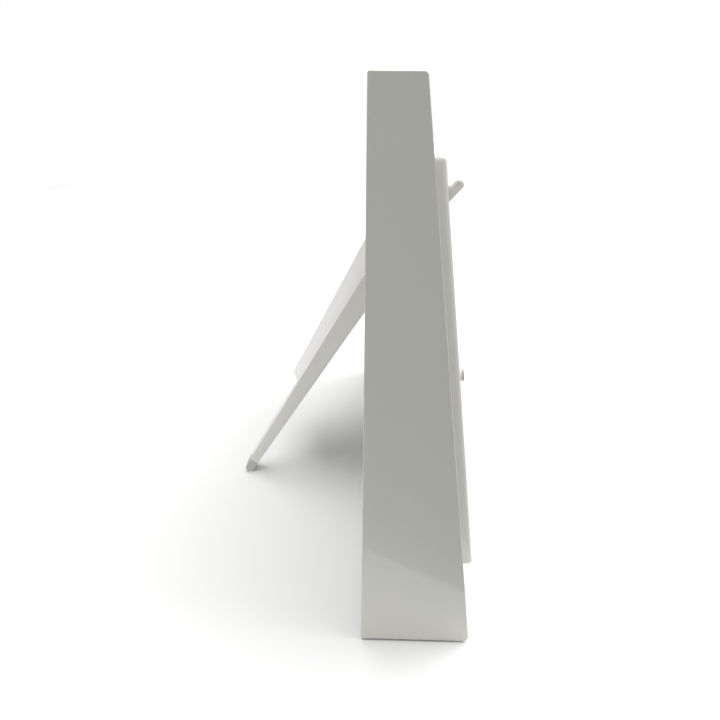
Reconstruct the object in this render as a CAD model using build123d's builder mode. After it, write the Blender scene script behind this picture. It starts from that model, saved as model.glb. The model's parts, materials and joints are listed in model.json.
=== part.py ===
from build123d import *
import os
from math import atan2, cos, degrees, radians, sin, tan

os.makedirs("parts", exist_ok=True)

# Digital photo frame: a wedge-shaped surround that stands on its own base,
# a display module proud of the raked front, and a folding strut at the back.
# +X runs along the width, -Y is the front that is looked at, +Z is up.
# The origin is the centre of the base pad's underside. All sizes are in mm.

# ---------------------------------------------------------------- surround
width = 306.0
height = 227.0
base_depth = 45.6
top_depth = 19.6
wall = 2.4
corner_front_bottom = 2.2
corner_front_top = 1.5
corner_rear = 1.0
side_edge_radius = 0.4
screw_post_radius = 3.2
screw_pilot_radius = 1.1
screw_pilot_depth = 8.0
post_inset = 9.6

# ---------------------------------------------------------------- base pad
pad_length = 230.0
pad_depth = 27.0
pad_thickness = 1.6
pad_proud = 0.8
pad_corner = 5.0

# ---------------------------------------------------------- display module
side_margin = 22.0
top_margin = 29.0
bottom_margin = 22.0
slab_proud = 5.3
slab_wall = 2.0
slab_corner = 2.4
slab_edge_radius = 1.8
bezel_border_x = 20.5
bezel_border_y = 18.5
window_corner = 1.0
opening_inset = 3.0
skirt_thickness = 1.2
skirt_gap = 0.4
glass_thickness = 1.1
glass_overlap = 5.5
panel_thickness = 2.0
panel_overlap = 3.5
diffuser_thickness = 0.4
guide_thickness = 2.2
guide_overlap = 0.5
led_bar_height = 3.0
led_pitch = 9.0
panel_frame_rim = 4.0
chassis_thickness = 0.8
chassis_lap = 4.0
chassis_flange = 4.0
boss_radius = 2.8
boss_inset = 10.5
boss_end_inset = 9.2
boss_corner_inset = 18.0
boss_cap = 0.6
chassis_screw_bite = 4.0
led_length = 3.2
led_height = 1.4
led_seat = 0.3

# ---------------------------------------------------------------- controls
control_inset = 9.6
button_radius = 2.5
button_proud = 1.9
button_flange_radius = 3.3
button_flange_thickness = 0.8
button_travel = 0.6
button_drop = 1.4
lever_drop = 19.9
lever_pivot_depth = 4.1
lever_angle = 42.0
lever_reach = 11.3
lever_thickness = 4.0
lever_width = 5.4
lever_hub_radius = 1.7
lever_tail = 7.0
lever_swing = 8.0
lever_rim_radius = 0.9
lever_pin_radius = 0.75
lever_ear = 1.0
lever_ear_radius = 1.9
lever_spring_width = 0.8
lever_spring_coil = 0.75
lever_spring_wire = 0.35
lever_spring_leg = 5.2
lever_spring_spread = 0.9
lever_tail_thickness = 1.2
lever_slot_corner = 0.8
lever_ear_length = 12.4
lever_ear_shift = 4.0
lever_bridge = 1.6
lever_wiring_slot = 8.0
control_board_width = 9.2
control_board_thickness = 1.0
control_board_foot = 12.0
control_board_head = 11.0
control_screw_inset = 3.5
switch_size = 6.0
switch_body_share = 0.7
switch_plunger_radius = 1.6
lever_switch_size = 5.0
lever_switch_height = 0.45
lever_switch_stem = 0.65
lever_switch_stem_length = 2.0
lever_switch_stem_width = 1.2

# ------------------------------------------------------------------- strut
hinge_drop = 101.0
hinge_depth = 6.2
strut_angle = 30.3
strut_near_x = -12.0
strut_leg_width = 10.0
strut_foot_thickness = 4.9
strut_skin = 2.2
strut_wall = 2.0
barrel_radius = 6.2
web_far_x = 98.0
web_shoulder_drop = 8.0
web_corner_x = 43.0
web_corner_rise = 47.0
web_crotch_rise = 62.0
web_corner_radius = 5.0
foot_cap_length = 7.0
foot_round = 1.2
hinge_pin_radius = 2.0
ear_thickness = 3.5
washer_thickness = 0.8
bracket_rise = 17.0
bracket_plate = 1.5
bracket_plate_height = 10.0
bracket_reach = 12.0
ear_size = 10.0
hinge_boss_height = 4.0
hinge_screw_head = 1.9
hinge_screw_spread = 2.7
hinge_boss_cap = 0.6
hinge_pin_end = 0.6
strut_rib = 1.6

# -------------------------------------------------------------- rear cover
cover_inset = 1.0
cover_thickness = 2.2
tub_wall = 1.6
tub_clearance = 1.2
tub_depth = 13.6
vent_length = 16.0
vent_width = 1.8
vent_pitch = 5.0
vent_count = 9
vent_shift = 12.0
grille_hole_radius = 0.9
grille_pitch = 3.6
grille_columns = 7
grille_rows = 3
hanger_spacing = 150.0
hanger_drop = 30.0
hanger_head_radius = 4.25
hanger_slot_radius = 2.1
hanger_slot_length = 9.0
hanger_plate_thickness = 1.2
hanger_plate_width = 18.0
hanger_plate_height = 26.0
hanger_plate_corner = 2.0
side_screw_inset = 13.0
side_screw_rise = 12.0
edge_screw_inset = 9.5
top_screw_inset = 12.0
cover_screw_head = 0.9

# ------------------------------------------------------- boards and sockets
board_thickness = 1.6
main_board_height = 76.0
main_board_bottom = 36.0
board_side_gap = 13.0
board_boss_radius = 2.6
board_corner = 2.0
board_screw_bite = 5.0
board_screw_inset = 5.0
board_to_tub = 4.0
chip_height = 1.1
can_length = 22.0
can_width = 26.0
can_height = 2.4
can_wall = 0.4
can_shift = 22.0
jack_body = 10.0
jack_depth = 11.0
jack_bore_radius = 2.9
jack_bore_depth = 9.0
jack_pin_radius = 1.0
jack_nose = 0.7
jack_nose_gap = 0.1
jack_pin_drop = 1.2
jack_side = 24.0
jack_rise = 14.0
io_board_width = 30.0
io_board_height = 56.0
io_board_bottom = 20.0
io_board_corner = 1.5
io_screw_side = 3.2
io_screw_end = 4.0
io_side_gap = 1.0
card_rise = 12.0
card_body = 28.0
card_depth = 24.0
card_height = 3.4
card_end = 1.5
mouth_gap_card = 0.6
card_mouth_width = 24.6
card_mouth_height = 2.4
usb_width = 13.2
usb_height = 5.8
usb_depth = 14.0
usb_shell = 0.4
usb_drop = 17.0
usb_end = 2.5
usb_tongue = 1.4
usb_tongue_inset = 1.1
mouth_gap_usb = 0.4
speaker_length = 34.0
speaker_height = 18.0
speaker_depth = 8.0
speaker_corner = 6.0
speaker_rim = 1.2
speaker_rim_width = 2.0
speaker_magnet = 2.0
speaker_inset = 32.0
speaker_drop = 56.0
power_radius = 4.0
power_proud = 0.8
power_travel = 0.5
power_side = 24.0
power_drop = 15.0
power_flange = 1.2
power_flange_thickness = 1.0
power_stem_radius = 1.5
power_stem = 3.0
flex_width = 24.0
flex_thickness = 0.3
flex_drop = 12.0
flex_slack = 0.6
flex_slot = 4.0
ribbon_width = 8.0
ribbon_thickness = 0.6
header_length = 6.0
header_rise = 5.0
header_inset = 20.0
io_header_inset = 5.5
antenna_length = 46.0
antenna_width = 7.0
antenna_thickness = 0.8
antenna_drop = 22.0

# -------------------------------------------------------------- clearances
slide_gap = 0.1
moving_gap = 0.3
pin_gap = 0.05
seat_gap = 0.25
screw_head_radius = 2.2
screw_head_height = 1.3
screw_hole_radius = 1.5
screw_shank_radius = 1.05

# ------------------------------------------------------------ worked places
rear_y = base_depth / 2
front_y = -base_depth / 2
rake = degrees(atan2(base_depth - top_depth, height - pad_proud))
rake_cos = cos(radians(rake))
rake_sin = sin(radians(rake))
face_length = (height - pad_proud) / rake_cos
floor_z = pad_proud + wall
ceiling_z = height - wall
inner_half_width = width / 2 - wall

slab_width = width - 2 * side_margin
slab_height = face_length - top_margin - bottom_margin
slab_centre = bottom_margin + slab_height / 2
opening_width = slab_width - 2 * opening_inset
opening_height = slab_height - 2 * opening_inset
window_width = slab_width - 2 * bezel_border_x
window_height = slab_height - 2 * bezel_border_y
glass_width = window_width + 2 * glass_overlap
glass_height = window_height + 2 * glass_overlap
panel_width = window_width + 2 * panel_overlap
panel_height = window_height + 2 * panel_overlap
guide_width = window_width + 2 * guide_overlap
guide_height = window_height + 2 * guide_overlap
chassis_width = opening_width + 2 * chassis_lap
chassis_height = opening_height + 2 * chassis_lap

# Levels along the front face's outward normal, 0 on the surround's face.
inner_face_n = slab_proud - slab_wall
glass_back_n = inner_face_n - glass_thickness
panel_back_n = glass_back_n - panel_thickness
guide_front_n = panel_back_n - diffuser_thickness
guide_back_n = guide_front_n - guide_thickness
chassis_front_n = guide_back_n
skirt_end_n = chassis_front_n + skirt_gap
board_front_n = chassis_front_n + control_board_thickness

front = Plane(
    origin=(0, front_y, pad_proud),
    x_dir=(1, 0, 0),
    z_dir=(0, -rake_cos, rake_sin),
)
front_side = Plane(origin=front.origin, x_dir=front.y_dir, z_dir=front.x_dir)
rear_inward = Plane(origin=(0, rear_y, 0), x_dir=(1, 0, 0), z_dir=(0, -1, 0))

control_x = -slab_width / 2 + control_inset
button_u = slab_centre - button_drop
lever_u = bottom_margin + slab_height - lever_drop
lever_n = slab_proud - lever_pivot_depth

hinge_y = rear_y - hinge_depth
hinge_z = height - hinge_drop
tub_floor_y = rear_y - tub_depth
cover_outer_y = rear_y - cover_inset
cover_inner_y = cover_outer_y - cover_thickness
cover_width = 2 * (inner_half_width - seat_gap)
cover_bottom_z = floor_z + seat_gap
cover_top_z = ceiling_z - seat_gap
cover_height = cover_top_z - cover_bottom_z
cover_centre_z = (cover_top_z + cover_bottom_z) / 2

strut_cos = cos(radians(strut_angle))
strut_sin = sin(radians(strut_angle))
foot_under = barrel_radius - strut_foot_thickness
strut_length = foot_round + (
    hinge_z + (foot_under + foot_round) * strut_sin - foot_round
) / strut_cos
tapered_length = strut_length - foot_cap_length
web_corner_drop = strut_length - web_corner_rise
web_crotch_drop = strut_length - web_crotch_rise
leg_inner_x = strut_near_x + strut_leg_width
barrel_start_x = strut_near_x + ear_thickness + washer_thickness + moving_gap
barrel_end_x = web_far_x - ear_thickness - washer_thickness - moving_gap

board_rear_y = cover_outer_y - jack_depth
board_front_y = board_rear_y - board_thickness
main_board_left = -width / 2 + board_side_gap
tub_left_x = strut_near_x - tub_clearance - tub_wall
main_board_right = tub_left_x - board_to_tub
main_board_width = main_board_right - main_board_left
main_board_x = (main_board_left + main_board_right) / 2
main_board_z = main_board_bottom + main_board_height / 2
main_board_places = [
    (
        main_board_x + sx * (main_board_width / 2 - board_screw_inset),
        main_board_z + sz * (main_board_height / 2 - board_screw_inset),
    )
    for sx in (-1, 1)
    for sz in (-1, 1)
]
jack_x = main_board_left + jack_side
jack_z = main_board_bottom + jack_rise
power_x = main_board_left + power_side
power_z = main_board_bottom + main_board_height - power_drop

io_right = inner_half_width - io_side_gap
io_x = io_right - io_board_width / 2
io_z = io_board_bottom + io_board_height / 2
io_board_places = [
    (io_x - io_board_width / 2 + io_screw_side, io_z + sz * (io_board_height / 2 - io_screw_end))
    for sz in (-1, 1)
]
card_z = io_z + card_rise
usb_z = io_z - usb_drop
card_y = board_front_y - card_height / 2
usb_y = board_front_y - usb_height / 2

flex_x = main_board_x
flex_z = main_board_bottom + main_board_height - flex_drop
flex_u = (flex_z - pad_proud) / rake_cos

notch_radius = barrel_radius + 3.0
bracket_screw_z = hinge_z + bracket_rise - bracket_plate_height / 2
hinge_screw_places = [
    (x, bracket_screw_z + dz)
    for x in (
        strut_near_x + (ear_thickness + bracket_reach) / 2,
        web_far_x - (ear_thickness + bracket_reach) / 2,
    )
    for dz in (-hinge_screw_spread, hinge_screw_spread)
]

speaker_x = width / 2 - speaker_inset
speaker_z = height - speaker_drop
hanger_z = height - hanger_drop
top_post_x = (hanger_spacing - hanger_plate_width) / 2 - screw_post_radius - 2.0

cover_screw_places = [
    (sx * (width / 2 - post_inset), z)
    for sx in (-1, 1)
    for z in (pad_proud + side_screw_inset, height / 2 + side_screw_rise, height - side_screw_inset)
]
cover_screw_places += [(sx * width / 5, pad_proud + edge_screw_inset) for sx in (-1, 1)]
cover_screw_places += [(sx * top_post_x, height - top_screw_inset) for sx in (-1, 1)]

boss_x = slab_width / 2 - boss_inset
boss_u = slab_height / 2 - boss_end_inset
boss_corner_u = slab_height / 2 - boss_corner_inset
chassis_screw_places = [
    (boss_x, -boss_corner_u),
    (boss_x, 0),
    (boss_x, boss_corner_u),
    (-boss_x, -boss_corner_u),
    (-boss_x, -slab_height / 6),
    (-slab_width / 4, boss_u),
    (slab_width / 4, boss_u),
    (-slab_width / 4, -boss_u),
    (slab_width / 4, -boss_u),
]
control_board_bottom = button_u - control_board_foot
control_board_top = lever_u + control_board_head
control_board_u = (control_board_bottom + control_board_top) / 2
control_screw_places = [
    (control_x, control_board_bottom + control_screw_inset),
    (control_x, (button_u + lever_u) / 2),
]


def front_y_at(z, behind):
    """Y at height z of the plane that lies `behind` the surround's front face."""
    return front_y + behind / rake_cos + (z - pad_proud) * tan(radians(rake))


def strut_plane(angle):
    """The strut's own plane: Y runs down the strut from its hinge, Z points to the rear."""
    return Plane(
        origin=(0, hinge_y, hinge_z),
        x_dir=(1, 0, 0),
        z_dir=(0, cos(radians(angle)), sin(radians(angle))),
    )


def strut_side_plane(angle, x):
    """Across the strut at x: X runs down the strut, Y points to the rear."""
    face = strut_plane(angle)
    return Plane(
        origin=(x, hinge_y, hinge_z), x_dir=face.y_dir, z_dir=face.x_dir
    )


def strut_outline_points(top):
    """The strut seen square on, from `top` above the hinge down to the end of its leg."""
    return [
        (strut_near_x, -top),
        (web_far_x, -top),
        (web_far_x, web_shoulder_drop),
        (web_corner_x, web_corner_drop),
        (leg_inner_x, web_crotch_drop),
        (leg_inner_x, strut_length),
        (strut_near_x, strut_length),
    ]


open_face = strut_plane(strut_angle)
folded_face = strut_plane(0)


# ------------------------------------------------------------ surround_shell
with BuildPart() as surround_shell:
    with BuildSketch(Plane.YZ) as side_outline:
        with BuildLine():
            Polyline(
                (rear_y, pad_proud),
                (front_y, pad_proud),
                (rear_y - top_depth, height),
                (rear_y, height),
                close=True,
            )
        make_face()
        fillet(side_outline.vertices().sort_by(Axis.X)[0], corner_front_bottom)
        fillet(side_outline.vertices().group_by(Axis.Y)[-1].sort_by(Axis.X)[0], corner_front_top)
        fillet(side_outline.vertices().group_by(Axis.X)[-1], corner_rear)
    extrude(amount=width / 2, both=True)
    side_faces = surround_shell.faces().filter_by(Axis.X)
    fillet(side_faces.edges(), side_edge_radius)
    with BuildSketch(Plane.YZ) as cavity_outline:
        with BuildLine():
            Polyline(
                (rear_y + wall, floor_z),
                (front_y_at(floor_z, wall), floor_z),
                (front_y_at(ceiling_z, wall), ceiling_z),
                (rear_y + wall, ceiling_z),
                close=True,
            )
        make_face()
    extrude(amount=inner_half_width, both=True, mode=Mode.SUBTRACT)
    # The display module's opening in the front wall.
    with BuildSketch(front.offset(1)):
        with Locations((0, slab_centre)):
            RectangleRounded(opening_width, opening_height, slab_corner / 2)
    extrude(amount=-(wall + 2), mode=Mode.SUBTRACT)
    # Land around the opening, where the chassis laps behind the front wall.
    with BuildSketch(front.offset(-wall / 2)):
        with Locations((0, slab_centre)):
            Rectangle(chassis_width + 2 * seat_gap, chassis_height + 2 * seat_gap)
            RectangleRounded(
                opening_width, opening_height, slab_corner / 2, mode=Mode.SUBTRACT
            )
    extrude(amount=chassis_front_n + wall / 2)
    with BuildSketch(front.offset(chassis_front_n)):
        with Locations((0, slab_centre)):
            Rectangle(chassis_width + 2 * seat_gap, chassis_height + 2 * seat_gap)
    extrude(amount=-chassis_flange, mode=Mode.SUBTRACT)
    # Posts that take the rear cover's screws.
    for x, z in cover_screw_places:
        post_length = cover_inner_y - front_y_at(z, wall / 2)
        with BuildSketch(rear_inward.offset(rear_y - cover_inner_y)):
            with Locations((x, z)):
                Circle(screw_post_radius)
        extrude(amount=post_length)
    with BuildSketch(rear_inward.offset(rear_y - cover_inner_y)):
        with Locations(*cover_screw_places):
            Circle(screw_pilot_radius)
    extrude(amount=screw_pilot_depth, mode=Mode.SUBTRACT)
    # Pocket for the base pad.
    with BuildSketch(Plane.XY.offset(pad_proud)):
        RectangleRounded(pad_length + seat_gap, pad_depth + seat_gap, pad_corner)
    extrude(amount=pad_thickness - pad_proud, mode=Mode.SUBTRACT)
    # Notch that lets the folded leg pass the bottom wall.
    notch_depth = strut_foot_thickness + 3 * tub_clearance
    with BuildSketch(Plane.XY.offset(pad_proud - 1)):
        with Locations(((strut_near_x + leg_inner_x) / 2, rear_y)):
            Rectangle(strut_leg_width + 2 * tub_clearance, 2 * notch_depth)
    extrude(amount=wall + 2, mode=Mode.SUBTRACT)
    # Mouths of the card slot and the USB port in the far side wall.
    with BuildSketch(Plane.YZ.offset(inner_half_width - 1)):
        with Locations((card_y, card_z)):
            Rectangle(
                card_mouth_height + 2 * mouth_gap_card, card_mouth_width + 2 * mouth_gap_card
            )
        with Locations((usb_y, usb_z)):
            Rectangle(usb_height + 2 * mouth_gap_usb, usb_width + 2 * mouth_gap_usb)
    extrude(amount=wall + 2, mode=Mode.SUBTRACT)
surround_shell.part.label = "surround_shell"
export_step(surround_shell.part, "parts/surround_shell.step")

# ----------------------------------------------------------------- base_pad
with BuildPart() as base_pad:
    with BuildSketch(Plane.XY):
        RectangleRounded(pad_length, pad_depth, pad_corner)
    extrude(amount=pad_thickness)
    chamfer(base_pad.faces().sort_by(Axis.Z)[0].edges(), 0.3)
base_pad.part.label = "base_pad"
export_step(base_pad.part, "parts/base_pad.step")

# ------------------------------------------------------------ display_bezel
with BuildPart() as display_bezel:
    with BuildSketch(front):
        with Locations((0, slab_centre)):
            RectangleRounded(slab_width, slab_height, slab_corner)
    extrude(amount=slab_proud)
    slab_face = display_bezel.faces().sort_by(Axis(front.origin, front.z_dir))[-1]
    fillet(slab_face.edges(), slab_edge_radius)
    with BuildSketch(front):
        with Locations((0, slab_centre)):
            RectangleRounded(
                slab_width - 2 * slab_wall, slab_height - 2 * slab_wall, slab_corner - slab_wall
            )
    extrude(amount=inner_face_n, mode=Mode.SUBTRACT)
    # Locating skirt that drops into the surround's opening.
    with BuildSketch(front.offset(skirt_end_n)):
        with Locations((0, slab_centre)):
            RectangleRounded(
                opening_width - 2 * seat_gap, opening_height - 2 * seat_gap, slab_corner / 2
            )
            RectangleRounded(
                opening_width - 2 * seat_gap - 2 * skirt_thickness,
                opening_height - 2 * seat_gap - 2 * skirt_thickness,
                slab_corner / 4,
                mode=Mode.SUBTRACT,
            )
    extrude(amount=inner_face_n - skirt_end_n)
    # Screw bosses behind the border.
    with BuildSketch(front.offset(chassis_front_n)):
        with Locations((0, slab_centre)):
            with Locations(*chassis_screw_places):
                Circle(boss_radius)
    extrude(amount=inner_face_n - chassis_front_n)
    with BuildSketch(front.offset(chassis_front_n)):
        with Locations((0, slab_centre)):
            with Locations(*chassis_screw_places):
                Circle(screw_pilot_radius)
    extrude(amount=inner_face_n - chassis_front_n - boss_cap, mode=Mode.SUBTRACT)
    # Window, button bore and lever slot.
    with BuildSketch(front.offset(inner_face_n - 1)):
        with Locations((0, slab_centre)):
            RectangleRounded(window_width, window_height, window_corner)
        with Locations((control_x, button_u)):
            Circle(button_radius + slide_gap)
    extrude(amount=slab_wall + 2, mode=Mode.SUBTRACT)
    lever_low = radians(lever_angle - lever_swing)
    lever_high = radians(lever_angle + lever_swing)
    slot_low = (inner_face_n - lever_n) * tan(lever_low) - lever_thickness / 2 / cos(lever_low)
    slot_high = (slab_proud - lever_n) * tan(lever_high) + lever_thickness / 2 / cos(lever_high)
    with BuildSketch(front.offset(inner_face_n - 1)):
        with Locations((control_x, lever_u + (slot_low + slot_high) / 2)):
            RectangleRounded(
                lever_width + 2 * moving_gap, slot_high - slot_low + 2 * moving_gap, lever_slot_corner
            )
    extrude(amount=slab_wall + 2, mode=Mode.SUBTRACT)
display_bezel.part.label = "display_bezel"
export_step(display_bezel.part, "parts/display_bezel.step")

# -------------------------------------------------------------- cover_glass
with BuildPart() as cover_glass:
    with BuildSketch(front.offset(glass_back_n)):
        with Locations((0, slab_centre)):
            RectangleRounded(glass_width, glass_height, window_corner)
    extrude(amount=glass_thickness)
cover_glass.part.label = "cover_glass"
export_step(cover_glass.part, "parts/cover_glass.step")

# ---------------------------------------------------------------- lcd_panel
with BuildPart() as lcd_panel:
    with BuildSketch(front.offset(panel_back_n)):
        with Locations((0, slab_centre)):
            Rectangle(panel_width, panel_height)
    extrude(amount=panel_thickness)
lcd_panel.part.label = "lcd_panel"
export_step(lcd_panel.part, "parts/lcd_panel.step")

# ----------------------------------------------------------- diffuser_sheet
with BuildPart() as diffuser_sheet:
    with BuildSketch(front.offset(guide_front_n)):
        with Locations((0, slab_centre)):
            Rectangle(guide_width, guide_height)
    extrude(amount=diffuser_thickness)
diffuser_sheet.part.label = "diffuser_sheet"
export_step(diffuser_sheet.part, "parts/diffuser_sheet.step")

# -------------------------------------------------------------- light_guide
with BuildPart() as light_guide:
    with BuildSketch(front.offset(guide_back_n)):
        with Locations((0, slab_centre)):
            Rectangle(guide_width, guide_height)
    extrude(amount=guide_thickness)
light_guide.part.label = "light_guide"
export_step(light_guide.part, "parts/light_guide.step")

# ------------------------------------------------------------------ led_bar
led_count = int(guide_width // led_pitch) - 1
led_bar_u = slab_centre - guide_height / 2 - led_bar_height / 2
with BuildPart() as led_bar:
    with BuildSketch(front.offset(guide_back_n)):
        with Locations((0, led_bar_u - led_bar_height / 4)):
            Rectangle(guide_width, led_bar_height / 2)
    extrude(amount=guide_thickness)
    with BuildSketch(front.offset(guide_back_n + led_seat)):
        with Locations((0, led_bar_u + led_bar_height / 4)):
            with GridLocations(led_pitch, 1, led_count, 1):
                Rectangle(led_length, led_bar_height / 2)
    extrude(amount=led_height)
led_bar.part.label = "led_bar"
export_step(led_bar.part, "parts/led_bar.step")

# -------------------------------------------------------------- panel_frame
with BuildPart() as panel_frame:
    with BuildSketch(front.offset(guide_back_n)):
        with Locations((0, slab_centre)):
            Rectangle(guide_width + 2 * panel_frame_rim, guide_height + 2 * panel_frame_rim)
            Rectangle(guide_width, guide_height, mode=Mode.SUBTRACT)
        with Locations((0, led_bar_u)):
            Rectangle(guide_width, led_bar_height, mode=Mode.SUBTRACT)
    extrude(amount=panel_back_n - guide_back_n)
panel_frame.part.label = "panel_frame"
export_step(panel_frame.part, "parts/panel_frame.step")

# ---------------------------------------------------------- display_chassis
with BuildPart() as display_chassis:
    with BuildSketch(front.offset(chassis_front_n)):
        with Locations((0, slab_centre)):
            Rectangle(chassis_width, chassis_height)
    extrude(amount=-chassis_thickness)
    with BuildSketch(front.offset(chassis_front_n)):
        with Locations((0, slab_centre)):
            Rectangle(chassis_width, chassis_height)
            Rectangle(
                chassis_width - 2 * chassis_thickness,
                chassis_height - 2 * chassis_thickness,
                mode=Mode.SUBTRACT,
            )
    extrude(amount=-chassis_flange)
    with BuildSketch(front.offset(chassis_front_n + 1)):
        with Locations((0, slab_centre)):
            with Locations(*chassis_screw_places):
                Circle(screw_shank_radius + slide_gap)
        with Locations(*control_screw_places):
            Circle(screw_shank_radius + slide_gap)
        with Locations((control_x, control_board_top - 2 * control_screw_inset)):
            SlotOverall(lever_wiring_slot, control_board_width / 3)
        with Locations((flex_x, flex_u)):
            Rectangle(flex_width + 2, flex_slot)
    extrude(amount=-(chassis_thickness + 2), mode=Mode.SUBTRACT)
display_chassis.part.label = "display_chassis"
export_step(display_chassis.part, "parts/display_chassis.step")

# ----------------------------------------------------------- chassis_screws
with BuildPart() as chassis_screws:
    with BuildSketch(front.offset(chassis_front_n - chassis_thickness)):
        with Locations((0, slab_centre)):
            with Locations(*chassis_screw_places):
                Circle(screw_head_radius)
    extrude(amount=-screw_head_height)
    with BuildSketch(front.offset(chassis_front_n - chassis_thickness)):
        with Locations((0, slab_centre)):
            with Locations(*chassis_screw_places):
                Circle(screw_shank_radius)
    extrude(amount=chassis_thickness + chassis_screw_bite)
chassis_screws.part.label = "chassis_screws"
export_step(chassis_screws.part, "parts/chassis_screws.step")

# ------------------------------------------------------------ control_board
with BuildPart() as control_board:
    with BuildSketch(front.offset(chassis_front_n)):
        with Locations((control_x, control_board_u)):
            Rectangle(control_board_width, control_board_top - control_board_bottom)
        with Locations(*control_screw_places):
            Circle(screw_shank_radius + slide_gap, mode=Mode.SUBTRACT)
    extrude(amount=control_board_thickness)
control_board.part.label = "control_board"
export_step(control_board.part, "parts/control_board.step")

# ----------------------------------------------------------- control_screws
with BuildPart() as control_screws:
    with BuildSketch(front.offset(board_front_n)):
        with Locations(*control_screw_places):
            Circle(screw_head_radius)
    extrude(amount=screw_head_height)
    with BuildSketch(front.offset(board_front_n)):
        with Locations(*control_screw_places):
            Circle(screw_shank_radius)
    extrude(amount=-(control_board_thickness + chassis_thickness + 1))
control_screws.part.label = "control_screws"
export_step(control_screws.part, "parts/control_screws.step")

# -------------------------------------------------------------- menu_button
button_seat_n = inner_face_n - moving_gap
with BuildPart() as menu_button:
    with BuildSketch(front.offset(button_seat_n - button_flange_thickness)):
        with Locations((control_x, button_u)):
            Circle(button_flange_radius)
    extrude(amount=button_flange_thickness)
    with BuildSketch(front.offset(button_seat_n)):
        with Locations((control_x, button_u)):
            Circle(button_radius)
    extrude(amount=slab_proud + button_proud - button_seat_n)
    crown = menu_button.faces().sort_by(Axis(front.origin, front.z_dir))[-1]
    fillet(crown.edges(), button_proud * 0.6)
menu_button.part.label = "menu_button"
export_step(menu_button.part, "parts/menu_button.step")

# ------------------------------------------------------------ button_switch
plunger_n = button_seat_n - button_flange_thickness - button_travel - moving_gap
with BuildPart() as button_switch:
    with BuildSketch(front.offset(board_front_n)):
        with Locations((control_x, button_u)):
            Rectangle(switch_size, switch_size)
    extrude(amount=(plunger_n - board_front_n) * switch_body_share)
    with BuildSketch(front.offset(board_front_n)):
        with Locations((control_x, button_u)):
            Circle(switch_plunger_radius)
    extrude(amount=plunger_n - board_front_n)
button_switch.part.label = "button_switch"
export_step(button_switch.part, "parts/button_switch.step")

# ------------------------------------------------------------- browse_lever
lever_direction = radians(lever_angle)
tip_u = lever_u + lever_reach * sin(lever_direction)
tip_n = lever_n + lever_reach * cos(lever_direction)
with BuildPart() as browse_lever:
    with BuildSketch(front_side.offset(control_x - lever_width / 2)):
        with Locations(((lever_u + tip_u) / 2, (lever_n + tip_n) / 2)):
            SlotCenterToCenter(lever_reach, lever_thickness, rotation=90 - lever_angle)
        with Locations((lever_u, lever_n)):
            Circle(lever_hub_radius)
        with Locations((lever_u - lever_tail / 2, lever_n)):
            Rectangle(lever_tail, lever_tail_thickness)
    extrude(amount=lever_width)
    bat_rims = [
        edge
        for edge in browse_lever.edges()
        if front.to_local_coords(edge.center()).Z > lever_n + lever_hub_radius
        and abs(abs(edge.center().X - control_x) - lever_width / 2) < 0.01
    ]
    fillet(bat_rims, lever_rim_radius)
    with BuildSketch(front_side.offset(control_x - lever_width / 2 - 1)):
        with Locations((lever_u, lever_n)):
            Circle(lever_pin_radius + pin_gap)
    extrude(amount=lever_width + 2, mode=Mode.SUBTRACT)
browse_lever.part.label = "browse_lever"
export_step(browse_lever.part, "parts/browse_lever.step")

# ------------------------------------------------------------ lever_bracket
ear_near_x = control_x - lever_width / 2 - moving_gap - lever_ear
ear_far_x = control_x + lever_width / 2 + 2 * moving_gap + lever_spring_width
lever_ear_height = inner_face_n - lever_n - slide_gap
lever_ear_n = inner_face_n - lever_ear_height / 2
lever_bridge_u = lever_u + lever_ear_shift + (lever_ear_length - lever_bridge) / 2
with BuildPart() as lever_bracket:
    for ear_x in (ear_near_x, ear_far_x):
        with BuildSketch(front_side.offset(ear_x)):
            with Locations((lever_u + lever_ear_shift, lever_ear_n)):
                Rectangle(lever_ear_length, lever_ear_height)
            with Locations((lever_u, lever_n)):
                Circle(lever_ear_radius)
            with Locations((lever_u, lever_n)):
                Circle(lever_pin_radius, mode=Mode.SUBTRACT)
        extrude(amount=lever_ear)
    with BuildSketch(front_side.offset(ear_near_x)):
        with Locations((lever_bridge_u, lever_ear_n)):
            Rectangle(lever_bridge, lever_ear_height)
    extrude(amount=ear_far_x + lever_ear - ear_near_x)
lever_bracket.part.label = "lever_bracket"
export_step(lever_bracket.part, "parts/lever_bracket.step")

# ---------------------------------------------------------------- lever_pin
with BuildPart() as lever_pin:
    with BuildSketch(front_side.offset(ear_near_x)):
        with Locations((lever_u, lever_n)):
            Circle(lever_pin_radius)
    extrude(amount=ear_far_x + lever_ear - ear_near_x)
lever_pin.part.label = "lever_pin"
export_step(lever_pin.part, "parts/lever_pin.step")

# ------------------------------------------------------------- lever_spring
with BuildPart() as lever_spring:
    with BuildSketch(front_side.offset(control_x + lever_width / 2 + moving_gap)):
        with Locations((lever_u, lever_n)):
            Circle(lever_pin_radius + lever_spring_coil)
        for side in (-1, 1):
            leg_n = lever_n + side * lever_spring_spread
            with Locations((lever_u - lever_spring_leg / 2, leg_n)):
                Rectangle(lever_spring_leg, lever_spring_wire)
        with Locations((lever_u, lever_n)):
            Circle(lever_pin_radius + pin_gap, mode=Mode.SUBTRACT)
    extrude(amount=lever_spring_width)
lever_spring.part.label = "lever_spring"
export_step(lever_spring.part, "parts/lever_spring.step")

# ------------------------------------------------------------- lever_switch
with BuildPart() as lever_switch:
    with BuildSketch(front.offset(board_front_n)):
        with Locations((control_x, lever_u - lever_tail)):
            Rectangle(lever_switch_size, lever_switch_size)
    extrude(amount=lever_switch_height)
    with BuildSketch(front.offset(board_front_n)):
        with Locations((control_x, lever_u - lever_tail + lever_switch_stem_width / 2)):
            Rectangle(lever_switch_stem_length, lever_switch_stem_width)
    extrude(amount=lever_switch_stem)
lever_switch.part.label = "lever_switch"
export_step(lever_switch.part, "parts/lever_switch.step")

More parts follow.
